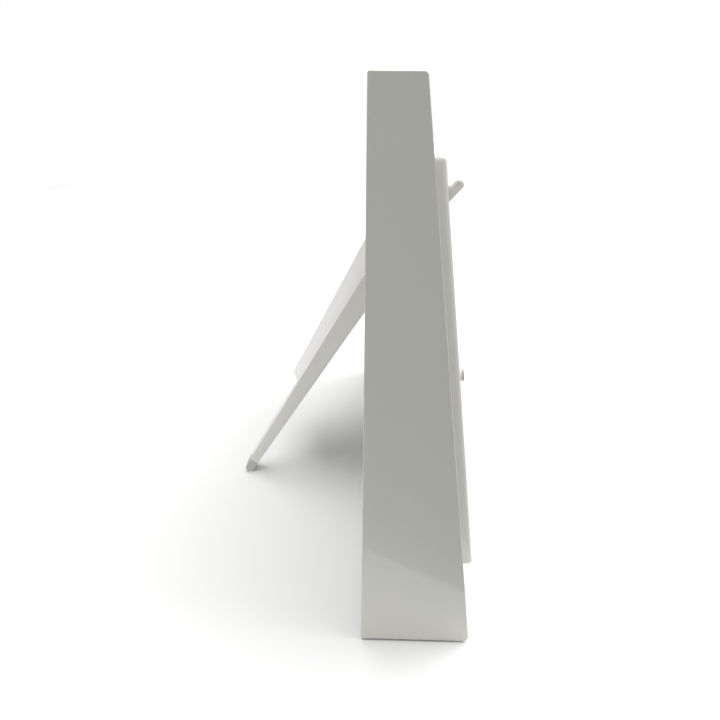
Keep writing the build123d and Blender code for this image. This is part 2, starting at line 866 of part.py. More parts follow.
# --------------------------------------------------------------- rear_cover
with BuildPart() as rear_cover:
    # The strut's tub, first as a solid block behind its outline.
    with BuildSketch(folded_face.offset(cover_outer_y - hinge_y)):
        with BuildLine():
            Polyline(*strut_outline_points(bracket_rise), close=True)
        make_face()
        offset(amount=tub_clearance + tub_wall, kind=Kind.INTERSECTION)
    extrude(amount=-(cover_outer_y - tub_floor_y + tub_wall))
    with BuildSketch(rear_inward):
        with Locations((0, cover_centre_z)):
            Rectangle(cover_width, cover_height)
    extrude(amount=rear_y - front_y, mode=Mode.INTERSECT)
    with BuildSketch(rear_inward.offset(cover_inset)):
        with Locations((0, cover_centre_z)):
            Rectangle(cover_width, cover_height)
    extrude(amount=cover_thickness)
    with BuildSketch(folded_face.offset(rear_y - hinge_y)):
        with BuildLine():
            Polyline(*strut_outline_points(bracket_rise), close=True)
        make_face()
        offset(amount=tub_clearance, kind=Kind.INTERSECTION)
    extrude(amount=-tub_depth, mode=Mode.SUBTRACT)
    # Bosses behind both boards, and behind the tub for the hinge screws.
    with BuildSketch(rear_inward.offset(rear_y - cover_inner_y)):
        with Locations(*main_board_places, *io_board_places):
            Circle(board_boss_radius)
    extrude(amount=cover_inner_y - board_rear_y)
    with BuildSketch(rear_inward.offset(rear_y - board_rear_y)):
        with Locations(*main_board_places, *io_board_places):
            Circle(screw_pilot_radius)
    extrude(amount=-(cover_inner_y - board_rear_y), mode=Mode.SUBTRACT)
    with BuildSketch(rear_inward.offset(tub_depth + tub_wall)):
        with Locations(*hinge_screw_places):
            Circle(board_boss_radius)
    extrude(amount=hinge_boss_height)
    with BuildSketch(rear_inward.offset(tub_depth)):
        with Locations(*hinge_screw_places):
            Circle(screw_pilot_radius)
    extrude(amount=tub_wall + hinge_boss_height - hinge_boss_cap, mode=Mode.SUBTRACT)
    # Holes: cover screws, socket, button, vents, grilles and hangers.
    with BuildSketch(rear_inward):
        with Locations(*cover_screw_places):
            Circle(screw_hole_radius)
        with Locations((jack_x, jack_z)):
            Circle(jack_bore_radius + jack_nose + jack_nose_gap)
        with Locations((power_x, power_z)):
            Circle(power_radius + slide_gap)
        with Locations((main_board_x + vent_shift, main_board_z)):
            with GridLocations(vent_pitch, 1, vent_count, 1):
                SlotOverall(vent_length, vent_width, rotation=90)
        for sx in (-1, 1):
            with Locations((sx * speaker_x, speaker_z)):
                with GridLocations(grille_pitch, grille_pitch, grille_columns, grille_rows):
                    Circle(grille_hole_radius)
            with Locations((sx * hanger_spacing / 2, hanger_z)):
                Circle(hanger_head_radius + 0.5)
            with Locations((sx * hanger_spacing / 2, hanger_z + hanger_slot_length / 2)):
                SlotCenterToCenter(hanger_slot_length, 2 * hanger_slot_radius + 1, rotation=90)
    extrude(amount=cover_inset + cover_thickness, mode=Mode.SUBTRACT)
rear_cover.part.label = "rear_cover"
export_step(rear_cover.part, "parts/rear_cover.step")

# ------------------------------------------------------------- cover_screws
with BuildPart() as cover_screws:
    with BuildSketch(rear_inward.offset(cover_inset)):
        with Locations(*cover_screw_places):
            Circle(2 * screw_shank_radius)
    extrude(amount=-cover_screw_head)
    with BuildSketch(rear_inward.offset(cover_inset)):
        with Locations(*cover_screw_places):
            Circle(screw_shank_radius)
    extrude(amount=cover_thickness + screw_pilot_depth - 1)
cover_screws.part.label = "cover_screws"
export_step(cover_screws.part, "parts/cover_screws.step")

# ------------------------------------------- hanger_plate_left and its mate
for side, name in ((-1, "hanger_plate_left"), (1, "hanger_plate_right")):
    with BuildPart() as hanger_plate:
        with BuildSketch(rear_inward.offset(rear_y - cover_inner_y)):
            with Locations((side * hanger_spacing / 2, hanger_z + hanger_slot_length / 2)):
                RectangleRounded(hanger_plate_width, hanger_plate_height, hanger_plate_corner)
            with Locations((side * hanger_spacing / 2, hanger_z)):
                Circle(hanger_head_radius, mode=Mode.SUBTRACT)
            with Locations((side * hanger_spacing / 2, hanger_z + hanger_slot_length / 2)):
                SlotCenterToCenter(
                    hanger_slot_length, 2 * hanger_slot_radius, rotation=90, mode=Mode.SUBTRACT
                )
        extrude(amount=hanger_plate_thickness)
    hanger_plate.part.label = name
    export_step(hanger_plate.part, f"parts/{name}.step")

# ---------------------------------------------- speaker_left and its mate
for side, name in ((-1, "speaker_left"), (1, "speaker_right")):
    with BuildPart() as speaker:
        with BuildSketch(rear_inward.offset(rear_y - cover_inner_y)):
            with Locations((side * speaker_x, speaker_z)):
                RectangleRounded(speaker_length, speaker_height, speaker_corner)
                SlotOverall(
                    speaker_length - 2 * speaker_rim_width,
                    speaker_height - 2 * speaker_rim_width,
                    mode=Mode.SUBTRACT,
                )
        extrude(amount=speaker_rim)
        with BuildSketch(rear_inward.offset(rear_y - cover_inner_y + speaker_rim)):
            with Locations((side * speaker_x, speaker_z)):
                RectangleRounded(speaker_length, speaker_height, speaker_corner)
        extrude(amount=speaker_depth - speaker_rim - speaker_magnet)
        with BuildSketch(rear_inward.offset(rear_y - cover_inner_y + speaker_depth - speaker_magnet)):
            with Locations((side * speaker_x, speaker_z)):
                Circle(speaker_height / 2 - speaker_rim_width)
        extrude(amount=speaker_magnet)
    speaker.part.label = name
    export_step(speaker.part, f"parts/{name}.step")

# --------------------------------------------------------------- main_board
with BuildPart() as main_board:
    with BuildSketch(rear_inward.offset(rear_y - board_rear_y)):
        with Locations((main_board_x, main_board_z)):
            RectangleRounded(main_board_width, main_board_height, board_corner)
        with Locations(*main_board_places):
            Circle(screw_hole_radius, mode=Mode.SUBTRACT)
    extrude(amount=board_thickness)
main_board.part.label = "main_board"
export_step(main_board.part, "parts/main_board.step")

# -------------------------------------------------------------- board_chips
chip_places = [
    (main_board_x + 8, main_board_z + 10, 14, 14),
    (main_board_x + 8, main_board_z - 12, 12, 9),
    (main_board_x + 26, main_board_z + 10, 9, 12),
]
with BuildPart() as board_chips:
    for x, z, size_x, size_z in chip_places:
        with BuildSketch(rear_inward.offset(rear_y - board_front_y)):
            with Locations((x, z)):
                Rectangle(size_x, size_z)
        extrude(amount=chip_height)
board_chips.part.label = "board_chips"
export_step(board_chips.part, "parts/board_chips.step")

# --------------------------------------------------------------- shield_can
can_x = main_board_x - can_shift
with BuildPart() as shield_can:
    with BuildSketch(rear_inward.offset(rear_y - board_front_y)):
        with Locations((can_x, main_board_z)):
            Rectangle(can_length, can_width)
    extrude(amount=can_height)
    with BuildSketch(rear_inward.offset(rear_y - board_front_y)):
        with Locations((can_x, main_board_z)):
            Rectangle(can_length - 2 * can_wall, can_width - 2 * can_wall)
    extrude(amount=can_height - can_wall, mode=Mode.SUBTRACT)
shield_can.part.label = "shield_can"
export_step(shield_can.part, "parts/shield_can.step")

# ------------------------------------------------------------------ dc_jack
with BuildPart() as dc_jack:
    with BuildSketch(rear_inward.offset(rear_y - cover_inner_y)):
        with Locations((jack_x, jack_z)):
            Rectangle(jack_body, jack_body)
    extrude(amount=cover_inner_y - board_rear_y)
    with BuildSketch(rear_inward.offset(cover_inset)):
        with Locations((jack_x, jack_z)):
            Circle(jack_bore_radius + jack_nose)
    extrude(amount=cover_thickness)
    with BuildSketch(rear_inward.offset(cover_inset)):
        with Locations((jack_x, jack_z)):
            Circle(jack_bore_radius)
            Circle(jack_pin_radius, mode=Mode.SUBTRACT)
    extrude(amount=jack_bore_depth, mode=Mode.SUBTRACT)
    with BuildSketch(rear_inward.offset(cover_inset)):
        with Locations((jack_x, jack_z)):
            Circle(jack_pin_radius)
    extrude(amount=jack_pin_drop, mode=Mode.SUBTRACT)
dc_jack.part.label = "dc_jack"
export_step(dc_jack.part, "parts/dc_jack.step")

# ------------------------------------------------------------- power_button
with BuildPart() as power_button:
    with BuildSketch(rear_inward.offset(rear_y - cover_inner_y + moving_gap)):
        with Locations((power_x, power_z)):
            Circle(power_radius + power_flange)
    extrude(amount=power_flange_thickness)
    with BuildSketch(rear_inward.offset(rear_y - cover_inner_y + moving_gap)):
        with Locations((power_x, power_z)):
            Circle(power_radius)
    extrude(amount=-(cover_thickness + moving_gap + power_proud))
    power_face = power_button.faces().sort_by(Axis.Y)[-1]
    fillet(power_face.edges(), power_proud / 2)
    with BuildSketch(
        rear_inward.offset(rear_y - cover_inner_y + moving_gap + power_flange_thickness)
    ):
        with Locations((power_x, power_z)):
            Circle(power_stem_radius)
    extrude(amount=power_stem)
power_button.part.label = "power_button"
export_step(power_button.part, "parts/power_button.step")

# ------------------------------------------------------------- power_switch
power_stem_y = cover_inner_y - moving_gap - power_flange_thickness - power_stem
power_plunger = power_stem_y - power_travel - moving_gap - board_rear_y
with BuildPart() as power_switch:
    with BuildSketch(Plane.XZ.offset(-board_rear_y)):
        with Locations((power_x, power_z)):
            Rectangle(switch_size, switch_size)
    extrude(amount=-power_plunger * switch_body_share)
    with BuildSketch(Plane.XZ.offset(-board_rear_y)):
        with Locations((power_x, power_z)):
            Circle(switch_plunger_radius)
    extrude(amount=-power_plunger)
power_switch.part.label = "power_switch"
export_step(power_switch.part, "parts/power_switch.step")

# ----------------------------------------------------------------- io_board
with BuildPart() as io_board:
    with BuildSketch(rear_inward.offset(rear_y - board_rear_y)):
        with Locations((io_x, io_z)):
            RectangleRounded(io_board_width, io_board_height, io_board_corner)
        with Locations(*io_board_places):
            Circle(screw_hole_radius, mode=Mode.SUBTRACT)
    extrude(amount=board_thickness)
io_board.part.label = "io_board"
export_step(io_board.part, "parts/io_board.step")

# ---------------------------------------------------------------- card_slot
with BuildPart() as card_slot:
    with BuildSketch(Plane.YZ.offset(io_right)):
        with Locations((card_y, card_z)):
            Rectangle(card_height, card_body)
    extrude(amount=-card_depth)
    with BuildSketch(Plane.YZ.offset(io_right)):
        with Locations((card_y, card_z)):
            Rectangle(card_mouth_height, card_mouth_width)
    extrude(amount=-(card_depth - card_end), mode=Mode.SUBTRACT)
card_slot.part.label = "card_slot"
export_step(card_slot.part, "parts/card_slot.step")

# ----------------------------------------------------------------- usb_port
with BuildPart() as usb_port:
    with BuildSketch(Plane.YZ.offset(io_right)):
        with Locations((usb_y, usb_z)):
            Rectangle(usb_height, usb_width)
    extrude(amount=-usb_depth)
    with BuildSketch(Plane.YZ.offset(io_right)):
        with Locations((usb_y, usb_z)):
            Rectangle(usb_height - 2 * usb_shell, usb_width - 2 * usb_shell)
        with Locations((usb_y + usb_height / 2 - usb_shell - usb_tongue, usb_z)):
            Rectangle(usb_tongue, usb_width - 2 * usb_tongue_inset, mode=Mode.SUBTRACT)
    extrude(amount=-(usb_depth - usb_end), mode=Mode.SUBTRACT)
usb_port.part.label = "usb_port"
export_step(usb_port.part, "parts/usb_port.step")

# ------------------------------------------------------------- board_screws
with BuildPart() as board_screws:
    with BuildSketch(rear_inward.offset(rear_y - board_front_y)):
        with Locations(*main_board_places, *io_board_places):
            Circle(screw_head_radius)
    extrude(amount=screw_head_height)
    with BuildSketch(rear_inward.offset(rear_y - board_front_y)):
        with Locations(*main_board_places, *io_board_places):
            Circle(screw_shank_radius)
    extrude(amount=-(board_thickness + board_screw_bite))
board_screws.part.label = "board_screws"
export_step(board_screws.part, "parts/board_screws.step")

# ------------------------------------------------------------- display_flex
flex_top_y = front_y_at(flex_z, chassis_thickness - chassis_front_n)
with BuildPart() as display_flex:
    with BuildSketch(Plane.YZ.offset(flex_x - flex_width / 2)):
        with Locations(((flex_top_y + board_front_y) / 2 - flex_slack, flex_z)):
            Rectangle(board_front_y - flex_top_y - flex_slack, flex_thickness)
    extrude(amount=flex_width)
display_flex.part.label = "display_flex"
export_step(display_flex.part, "parts/display_flex.step")

# ----------------------------------------------------------- ribbon_headers
ribbon_z = main_board_bottom + header_rise
ribbon_y = tub_floor_y - tub_wall
header_places = [
    (main_board_right - header_inset, ribbon_z),
    (io_x - io_board_width / 2 + io_header_inset, ribbon_z),
]
with BuildPart() as ribbon_headers:
    with BuildSketch(rear_inward.offset(rear_y - board_front_y)):
        with Locations(*header_places):
            Rectangle(header_length, ribbon_width)
    extrude(amount=board_front_y - ribbon_y)
ribbon_headers.part.label = "ribbon_headers"
export_step(ribbon_headers.part, "parts/ribbon_headers.step")

# ---------------------------------------------------------------- io_ribbon
ribbon_length = header_places[1][0] - header_places[0][0] + header_length
with BuildPart() as io_ribbon:
    with BuildSketch(rear_inward.offset(rear_y - ribbon_y)):
        with Locations(((header_places[0][0] + header_places[1][0]) / 2, ribbon_z)):
            Rectangle(ribbon_length, ribbon_width)
    extrude(amount=ribbon_thickness)
io_ribbon.part.label = "io_ribbon"
export_step(io_ribbon.part, "parts/io_ribbon.step")

# ------------------------------------------------------------------ antenna
with BuildPart() as antenna:
    with BuildSketch(rear_inward.offset(rear_y - cover_inner_y)):
        with Locations((0, height - antenna_drop)):
            RectangleRounded(antenna_length, antenna_width, antenna_thickness)
    extrude(amount=antenna_thickness)
antenna.part.label = "antenna"
export_step(antenna.part, "parts/antenna.step")

# -------------------------------------------------------------- strut_frame
with BuildPart() as strut_frame:
    with BuildSketch(open_face.offset(barrel_radius)) as strut_outline:
        with BuildLine():
            Polyline(*strut_outline_points(0), close=True)
        make_face()
        far_corner = Vector(web_corner_x, web_corner_drop)
        fillet(strut_outline.vertices().sort_by_distance(far_corner)[0], web_corner_radius)
    extrude(amount=-2 * barrel_radius)
    # The underside tapers from the barrel to the foot.
    with BuildSketch(strut_side_plane(strut_angle, strut_near_x - 1)):
        with BuildLine():
            Polyline(
                (0, barrel_radius),
                (tapered_length, barrel_radius),
                (tapered_length, foot_under),
                (0, -barrel_radius),
                close=True,
            )
        make_face()
    extrude(amount=web_far_x - strut_near_x + 2, mode=Mode.INTERSECT)
    # Hollow underside behind the skin.
    with BuildSketch(open_face.offset(barrel_radius - strut_skin)):
        with BuildLine():
            Polyline(*strut_outline_points(0), close=True)
        make_face()
        offset(amount=-strut_wall, kind=Kind.INTERSECTION)
        with Locations(((web_far_x + leg_inner_x) / 2, web_crotch_drop / 3)):
            Rectangle(web_far_x - leg_inner_x, strut_rib, mode=Mode.SUBTRACT)
        with Locations(((web_far_x + leg_inner_x) / 2, 2 * web_crotch_drop / 3)):
            Rectangle(web_far_x - leg_inner_x, strut_rib, mode=Mode.SUBTRACT)
        with Locations((leg_inner_x - strut_wall / 2, web_crotch_drop / 2)):
            Rectangle(strut_wall, web_crotch_drop, mode=Mode.SUBTRACT)
        with Locations((leg_inner_x, tapered_length)):
            Rectangle(4 * strut_leg_width, 2 * foot_cap_length, mode=Mode.SUBTRACT)
    extrude(amount=-2 * barrel_radius, mode=Mode.SUBTRACT)
    # Hinge barrel, notched at both ends for the bracket ears.
    with BuildSketch(strut_side_plane(strut_angle, strut_near_x)):
        Circle(barrel_radius)
    extrude(amount=web_far_x - strut_near_x)
    for notch_x, notch_width in (
        (strut_near_x - 1, barrel_start_x - strut_near_x + 1),
        (barrel_end_x, web_far_x - barrel_end_x + 1),
    ):
        with BuildSketch(strut_side_plane(strut_angle, notch_x)):
            Circle(notch_radius)
            with Locations((-notch_radius / 2, 0)):
                Rectangle(notch_radius, 2 * notch_radius)
        extrude(amount=notch_width, mode=Mode.SUBTRACT)
    with BuildSketch(strut_side_plane(strut_angle, strut_near_x - 1)):
        Circle(hinge_pin_radius + pin_gap)
    extrude(amount=web_far_x - strut_near_x + 2, mode=Mode.SUBTRACT)
strut_frame.part.label = "strut_frame"
export_step(strut_frame.part, "parts/strut_frame.step")

# --------------------------------------------------------------- strut_foot
with BuildPart() as strut_foot:
    with BuildSketch(strut_side_plane(strut_angle, strut_near_x)) as foot_outline:
        with BuildLine():
            Polyline(
                (tapered_length, barrel_radius),
                (strut_length, barrel_radius),
                (strut_length, foot_under),
                (tapered_length, foot_under),
                close=True,
            )
        make_face()
        for end_height in (foot_under, barrel_radius):
            corner = Vector(strut_length, end_height)
            fillet(foot_outline.vertices().sort_by_distance(corner)[0], foot_round)
    extrude(amount=strut_leg_width)
strut_foot.part.label = "strut_foot"
export_step(strut_foot.part, "parts/strut_foot.step")

# ---------------------------------------------------------------- hinge_pin
with BuildPart() as hinge_pin:
    with BuildSketch(Plane.YZ.offset(strut_near_x - hinge_pin_end)):
        with Locations((hinge_y, hinge_z)):
            Circle(hinge_pin_radius)
    extrude(amount=web_far_x - strut_near_x + 2 * hinge_pin_end)
    chamfer(hinge_pin.faces().filter_by(Axis.X).edges(), hinge_pin_end / 2)
hinge_pin.part.label = "hinge_pin"
export_step(hinge_pin.part, "parts/hinge_pin.step")

# -------------------------------------- hinge_bracket_left and its mate
for name, ear_x, plate_x in (
    ("hinge_bracket_left", strut_near_x, strut_near_x),
    ("hinge_bracket_right", web_far_x - ear_thickness, web_far_x - bracket_reach),
):
    with BuildPart() as hinge_bracket:
        with BuildSketch(Plane.YZ.offset(ear_x)):
            with Locations((hinge_y, hinge_z)):
                Circle(ear_size / 2)
            with BuildLine():
                Polyline(
                    (tub_floor_y, hinge_z - ear_size / 2),
                    (hinge_y, hinge_z - ear_size / 2),
                    (hinge_y, hinge_z + ear_size / 2),
                    (tub_floor_y + bracket_plate, hinge_z + bracket_rise),
                    (tub_floor_y, hinge_z + bracket_rise),
                    close=True,
                )
            make_face()
            with Locations((hinge_y, hinge_z)):
                Circle(hinge_pin_radius, mode=Mode.SUBTRACT)
        extrude(amount=ear_thickness)
        with BuildSketch(Plane.YZ.offset(plate_x)):
            with Locations((tub_floor_y + bracket_plate / 2, bracket_screw_z)):
                Rectangle(bracket_plate, bracket_plate_height)
        extrude(amount=bracket_reach)
        with BuildSketch(Plane.XZ.offset(-(tub_floor_y - 1))):
            with Locations(*hinge_screw_places):
                Circle(screw_shank_radius + slide_gap)
        extrude(amount=-(bracket_plate + 2), mode=Mode.SUBTRACT)
    hinge_bracket.part.label = name
    export_step(hinge_bracket.part, f"parts/{name}.step")

# ------------------------------------------------------------- hinge_screws
with BuildPart() as hinge_screws:
    with BuildSketch(rear_inward.offset(tub_depth - bracket_plate)):
        with Locations(*hinge_screw_places):
            Circle(hinge_screw_head)
    extrude(amount=-screw_head_height)
    with BuildSketch(rear_inward.offset(tub_depth - bracket_plate)):
        with Locations(*hinge_screw_places):
            Circle(screw_shank_radius)
    extrude(amount=bracket_plate + tub_wall + hinge_boss_height - 1)
hinge_screws.part.label = "hinge_screws"
export_step(hinge_screws.part, "parts/hinge_screws.step")

# --------------------------------------------------------- friction_washers
with BuildPart() as friction_washers:
    for washer_x in (strut_near_x + ear_thickness, web_far_x - ear_thickness - washer_thickness):
        with BuildSketch(Plane.YZ.offset(washer_x)):
            with Locations((hinge_y, hinge_z)):
                Circle(ear_size / 2)
                Circle(hinge_pin_radius + pin_gap, mode=Mode.SUBTRACT)
        extrude(amount=washer_thickness)
friction_washers.part.label = "friction_washers"
export_step(friction_washers.part, "parts/friction_washers.step")
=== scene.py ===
import json
from math import cos, radians, sin

import bpy
from mathutils import Matrix, Vector


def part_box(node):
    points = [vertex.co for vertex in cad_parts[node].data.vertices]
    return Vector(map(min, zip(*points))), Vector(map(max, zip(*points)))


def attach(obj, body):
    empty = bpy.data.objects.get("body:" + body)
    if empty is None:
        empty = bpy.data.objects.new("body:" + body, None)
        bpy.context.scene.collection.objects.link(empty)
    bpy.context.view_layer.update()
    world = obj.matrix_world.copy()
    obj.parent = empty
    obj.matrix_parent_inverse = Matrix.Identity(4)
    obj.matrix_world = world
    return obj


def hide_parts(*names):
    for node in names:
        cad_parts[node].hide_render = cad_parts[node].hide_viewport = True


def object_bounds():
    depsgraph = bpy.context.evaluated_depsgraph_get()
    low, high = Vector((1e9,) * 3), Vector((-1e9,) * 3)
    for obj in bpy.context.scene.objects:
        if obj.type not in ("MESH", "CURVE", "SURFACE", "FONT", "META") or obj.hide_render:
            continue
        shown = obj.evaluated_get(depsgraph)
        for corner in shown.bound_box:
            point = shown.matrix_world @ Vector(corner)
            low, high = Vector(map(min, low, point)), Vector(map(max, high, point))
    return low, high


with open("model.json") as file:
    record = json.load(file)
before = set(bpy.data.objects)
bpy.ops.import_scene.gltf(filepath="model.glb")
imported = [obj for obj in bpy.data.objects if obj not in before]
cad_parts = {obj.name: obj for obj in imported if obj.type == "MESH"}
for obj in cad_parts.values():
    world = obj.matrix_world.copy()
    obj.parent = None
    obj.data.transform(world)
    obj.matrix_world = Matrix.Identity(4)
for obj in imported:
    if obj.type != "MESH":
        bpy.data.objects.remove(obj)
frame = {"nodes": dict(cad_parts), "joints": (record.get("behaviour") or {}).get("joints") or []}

bl_info = {
    "name": "Digital Photo Frame Finisher",
    "version": (1, 0, 0),
    "blender": (4, 5, 0),
    "location": "View3D > Sidebar > Photo Frame",
    "description": "Gives the packed photo frame its finishes, its small details and its stage",
    "category": "Object",
}

NODES = frame["nodes"]
CAD_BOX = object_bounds()
MM = 0.001
REARWARD = Vector((0, 1, 0))

# A copied mesh is merged within this distance, and its facets joined within this angle.
MERGE_DISTANCE = 0.002 * MM
FLAT_ANGLE = radians(0.4)


def joint_of(name):
    """The record's joint of that name."""
    return next(joint for joint in frame["joints"] if joint["name"] == name)


# The button is pressed square to the raked front, so its travel gives the rake.
FACE_OUT = -Vector(joint_of("menu_press")["axis"]).normalized()


# ------------------------------------------------------------------ settings
class FinishSettings(bpy.types.PropertyGroup):
    """Colours and surface values of the plastics."""

    # The surround's colour is set darker than the bezel's. This is partly the surround's own tone
    # and partly painted shade for the dimmer light on its near side.
    shell_colour: bpy.props.FloatVectorProperty(
        name="Surround colour",
        description="Pigment of the wedge-shaped surround",
        subtype="COLOR",
        size=3,
        min=0,
        max=1,
        default=(0.73, 0.725, 0.665),
    )
    module_colour: bpy.props.FloatVectorProperty(
        name="Bezel colour",
        description="Pigment of the display module's bezel, the lever and the button",
        subtype="COLOR",
        size=3,
        min=0,
        max=1,
        default=(0.87, 0.865, 0.81),
    )
    strut_colour: bpy.props.FloatVectorProperty(
        name="Strut colour",
        description="Pigment of the folding strut",
        subtype="COLOR",
        size=3,
        min=0,
        max=1,
        default=(0.86, 0.85, 0.82),
    )
    gloss_roughness: bpy.props.FloatProperty(
        name="Gloss roughness",
        description="Mean roughness of the glossy mouldings",
        default=0.20,
        min=0.02,
        max=1,
        subtype="FACTOR",
    )
    peel_height: bpy.props.FloatProperty(
        name="Mould ripple",
        description="Height of the faint ripple that moulding leaves on a glossy face",
        default=0.012 * MM,
        min=0,
        max=1 * MM,
        precision=6,
        unit="LENGTH",
    )


class DetailSettings(bpy.types.PropertyGroup):
    """Sizes of the small details that are modelled on top of the parts."""

    strut_edge: bpy.props.FloatProperty(
        name="Strut edge radius",
        description="Rounding of the strut's edges",
        default=0.35 * MM,
        min=0,
        max=1 * MM,
        precision=5,
        unit="LENGTH",
    )
    lever_rim: bpy.props.FloatProperty(
        name="Lever rim",
        description="Width of the raised rim round the lever's side faces",
        default=0.45 * MM,
        min=0,
        max=1 * MM,
        precision=5,
        unit="LENGTH",
    )
    lever_neck: bpy.props.FloatProperty(
        name="Lever neck",
        description="Distance from the lever's pivot to where its rim starts",
        default=3.4 * MM,
        min=2 * MM,
        max=8 * MM,
        precision=5,
        unit="LENGTH",
    )
    lever_sink: bpy.props.FloatProperty(
        name="Lever side sink",
        description="How far the lever's side faces lie under their rim",
        default=0.18 * MM,
        min=0,
        max=0.5 * MM,
        precision=5,
        unit="LENGTH",
    )
    button_flange: bpy.props.FloatProperty(
        name="Button flange",
        description="Thickness of the flange that keeps a button in its hole",
        default=0.8 * MM,
        min=0.2 * MM,
        max=2 * MM,
        precision=5,
        unit="LENGTH",
    )
    recess_share: bpy.props.FloatProperty(
        name="Cross recess span",
        description="Span of a screw's cross recess as a share of its head",
        default=0.62,
        min=0.3,
        max=0.9,
        subtype="FACTOR",
    )
    contact_length: bpy.props.FloatProperty(
        name="Contact length",
        description="Length of a gilded contact in the USB socket",
        default=7.0 * MM,
        min=1 * MM,
        max=10 * MM,
        precision=5,
        unit="LENGTH",
    )


class StageSettings(bpy.types.PropertyGroup):
    """Camera, floor and light."""

    camera_place: bpy.props.FloatVectorProperty(
        name="Camera place",
        description="Where the camera stands, level with the frame's top and beside it",
        subtype="TRANSLATION",
        unit="LENGTH",
        size=3,
        precision=5,
        default=(-0.4149, 0.0172, 0.2300),
    )
    camera_yaw: bpy.props.FloatProperty(
        name="Camera yaw",
        description="Turn of the camera from the frame's width towards its rear",
        default=radians(1.55),
        subtype="ANGLE",
    )
    camera_pitch: bpy.props.FloatProperty(
        name="Camera pitch",
        description="How far the camera looks down",
        default=radians(21.3),
        subtype="ANGLE",
    )
    camera_roll: bpy.props.FloatProperty(
        name="Camera roll",
        description="Turn of the camera about its own line of sight",
        default=radians(0.51),
        subtype="ANGLE",
    )
    camera_lens: bpy.props.FloatProperty(
        name="Focal length",
        description="Focal length of the lens in millimetres on a 36 mm sensor",
        default=38.5,
        min=10,
        max=200,
    )
    table_gap: bpy.props.FloatProperty(
        name="Table edge",
        description="How far the table runs on past the frame's near side",
        default=0.050,
        min=0,
        unit="LENGTH",
    )
    table_skew: bpy.props.FloatProperty(
        name="Table skew",
        description="Turn of the table's near edge against the frame's side",
        default=radians(34),
        subtype="ANGLE",
    )
    table_span: bpy.props.FloatProperty(
        name="Table span",
        description="Length and width of the table",
        default=1.3,
        min=0.5,
        unit="LENGTH",
    )
    room_light: bpy.props.FloatProperty(
        name="Room light",
        description="Strength of the even light from the room",
        default=0.40,
        min=0,
    )
    top_light: bpy.props.FloatProperty(
        name="Top light",
        description="Power of the large soft light over the table",
        default=47,
        min=0,
        unit="POWER",
    )
    far_light: bpy.props.FloatProperty(
        name="Far light",
        description="Power of the soft light beyond the frame, which the camera doesn't see",
        default=5.5,
        min=0,
        unit="POWER",
    )


# --------------------------------------------------------------- shader sums
class Amount:
    """A number that varies over a surface, so that sums of it read as sums."""

    def __init__(self, paint, socket):
        self.paint = paint
        self.socket = socket

    def sum_of(self, operation, first, second):
        return self.paint.node("ShaderNodeMath", {"operation": operation}, {0: first, 1: second})

    def __add__(self, other):
        return self.sum_of("ADD", self, other)

    def __radd__(self, other):
        return self.sum_of("ADD", other, self)

    def __sub__(self, other):
        return self.sum_of("SUBTRACT", self, other)

    def __rsub__(self, other):
        return self.sum_of("SUBTRACT", other, self)

    def __mul__(self, other):
        return self.sum_of("MULTIPLY", self, other)

    def __rmul__(self, other):
        return self.sum_of("MULTIPLY", other, self)

    def highest(self, other):
        return self.sum_of("MAXIMUM", self, other)


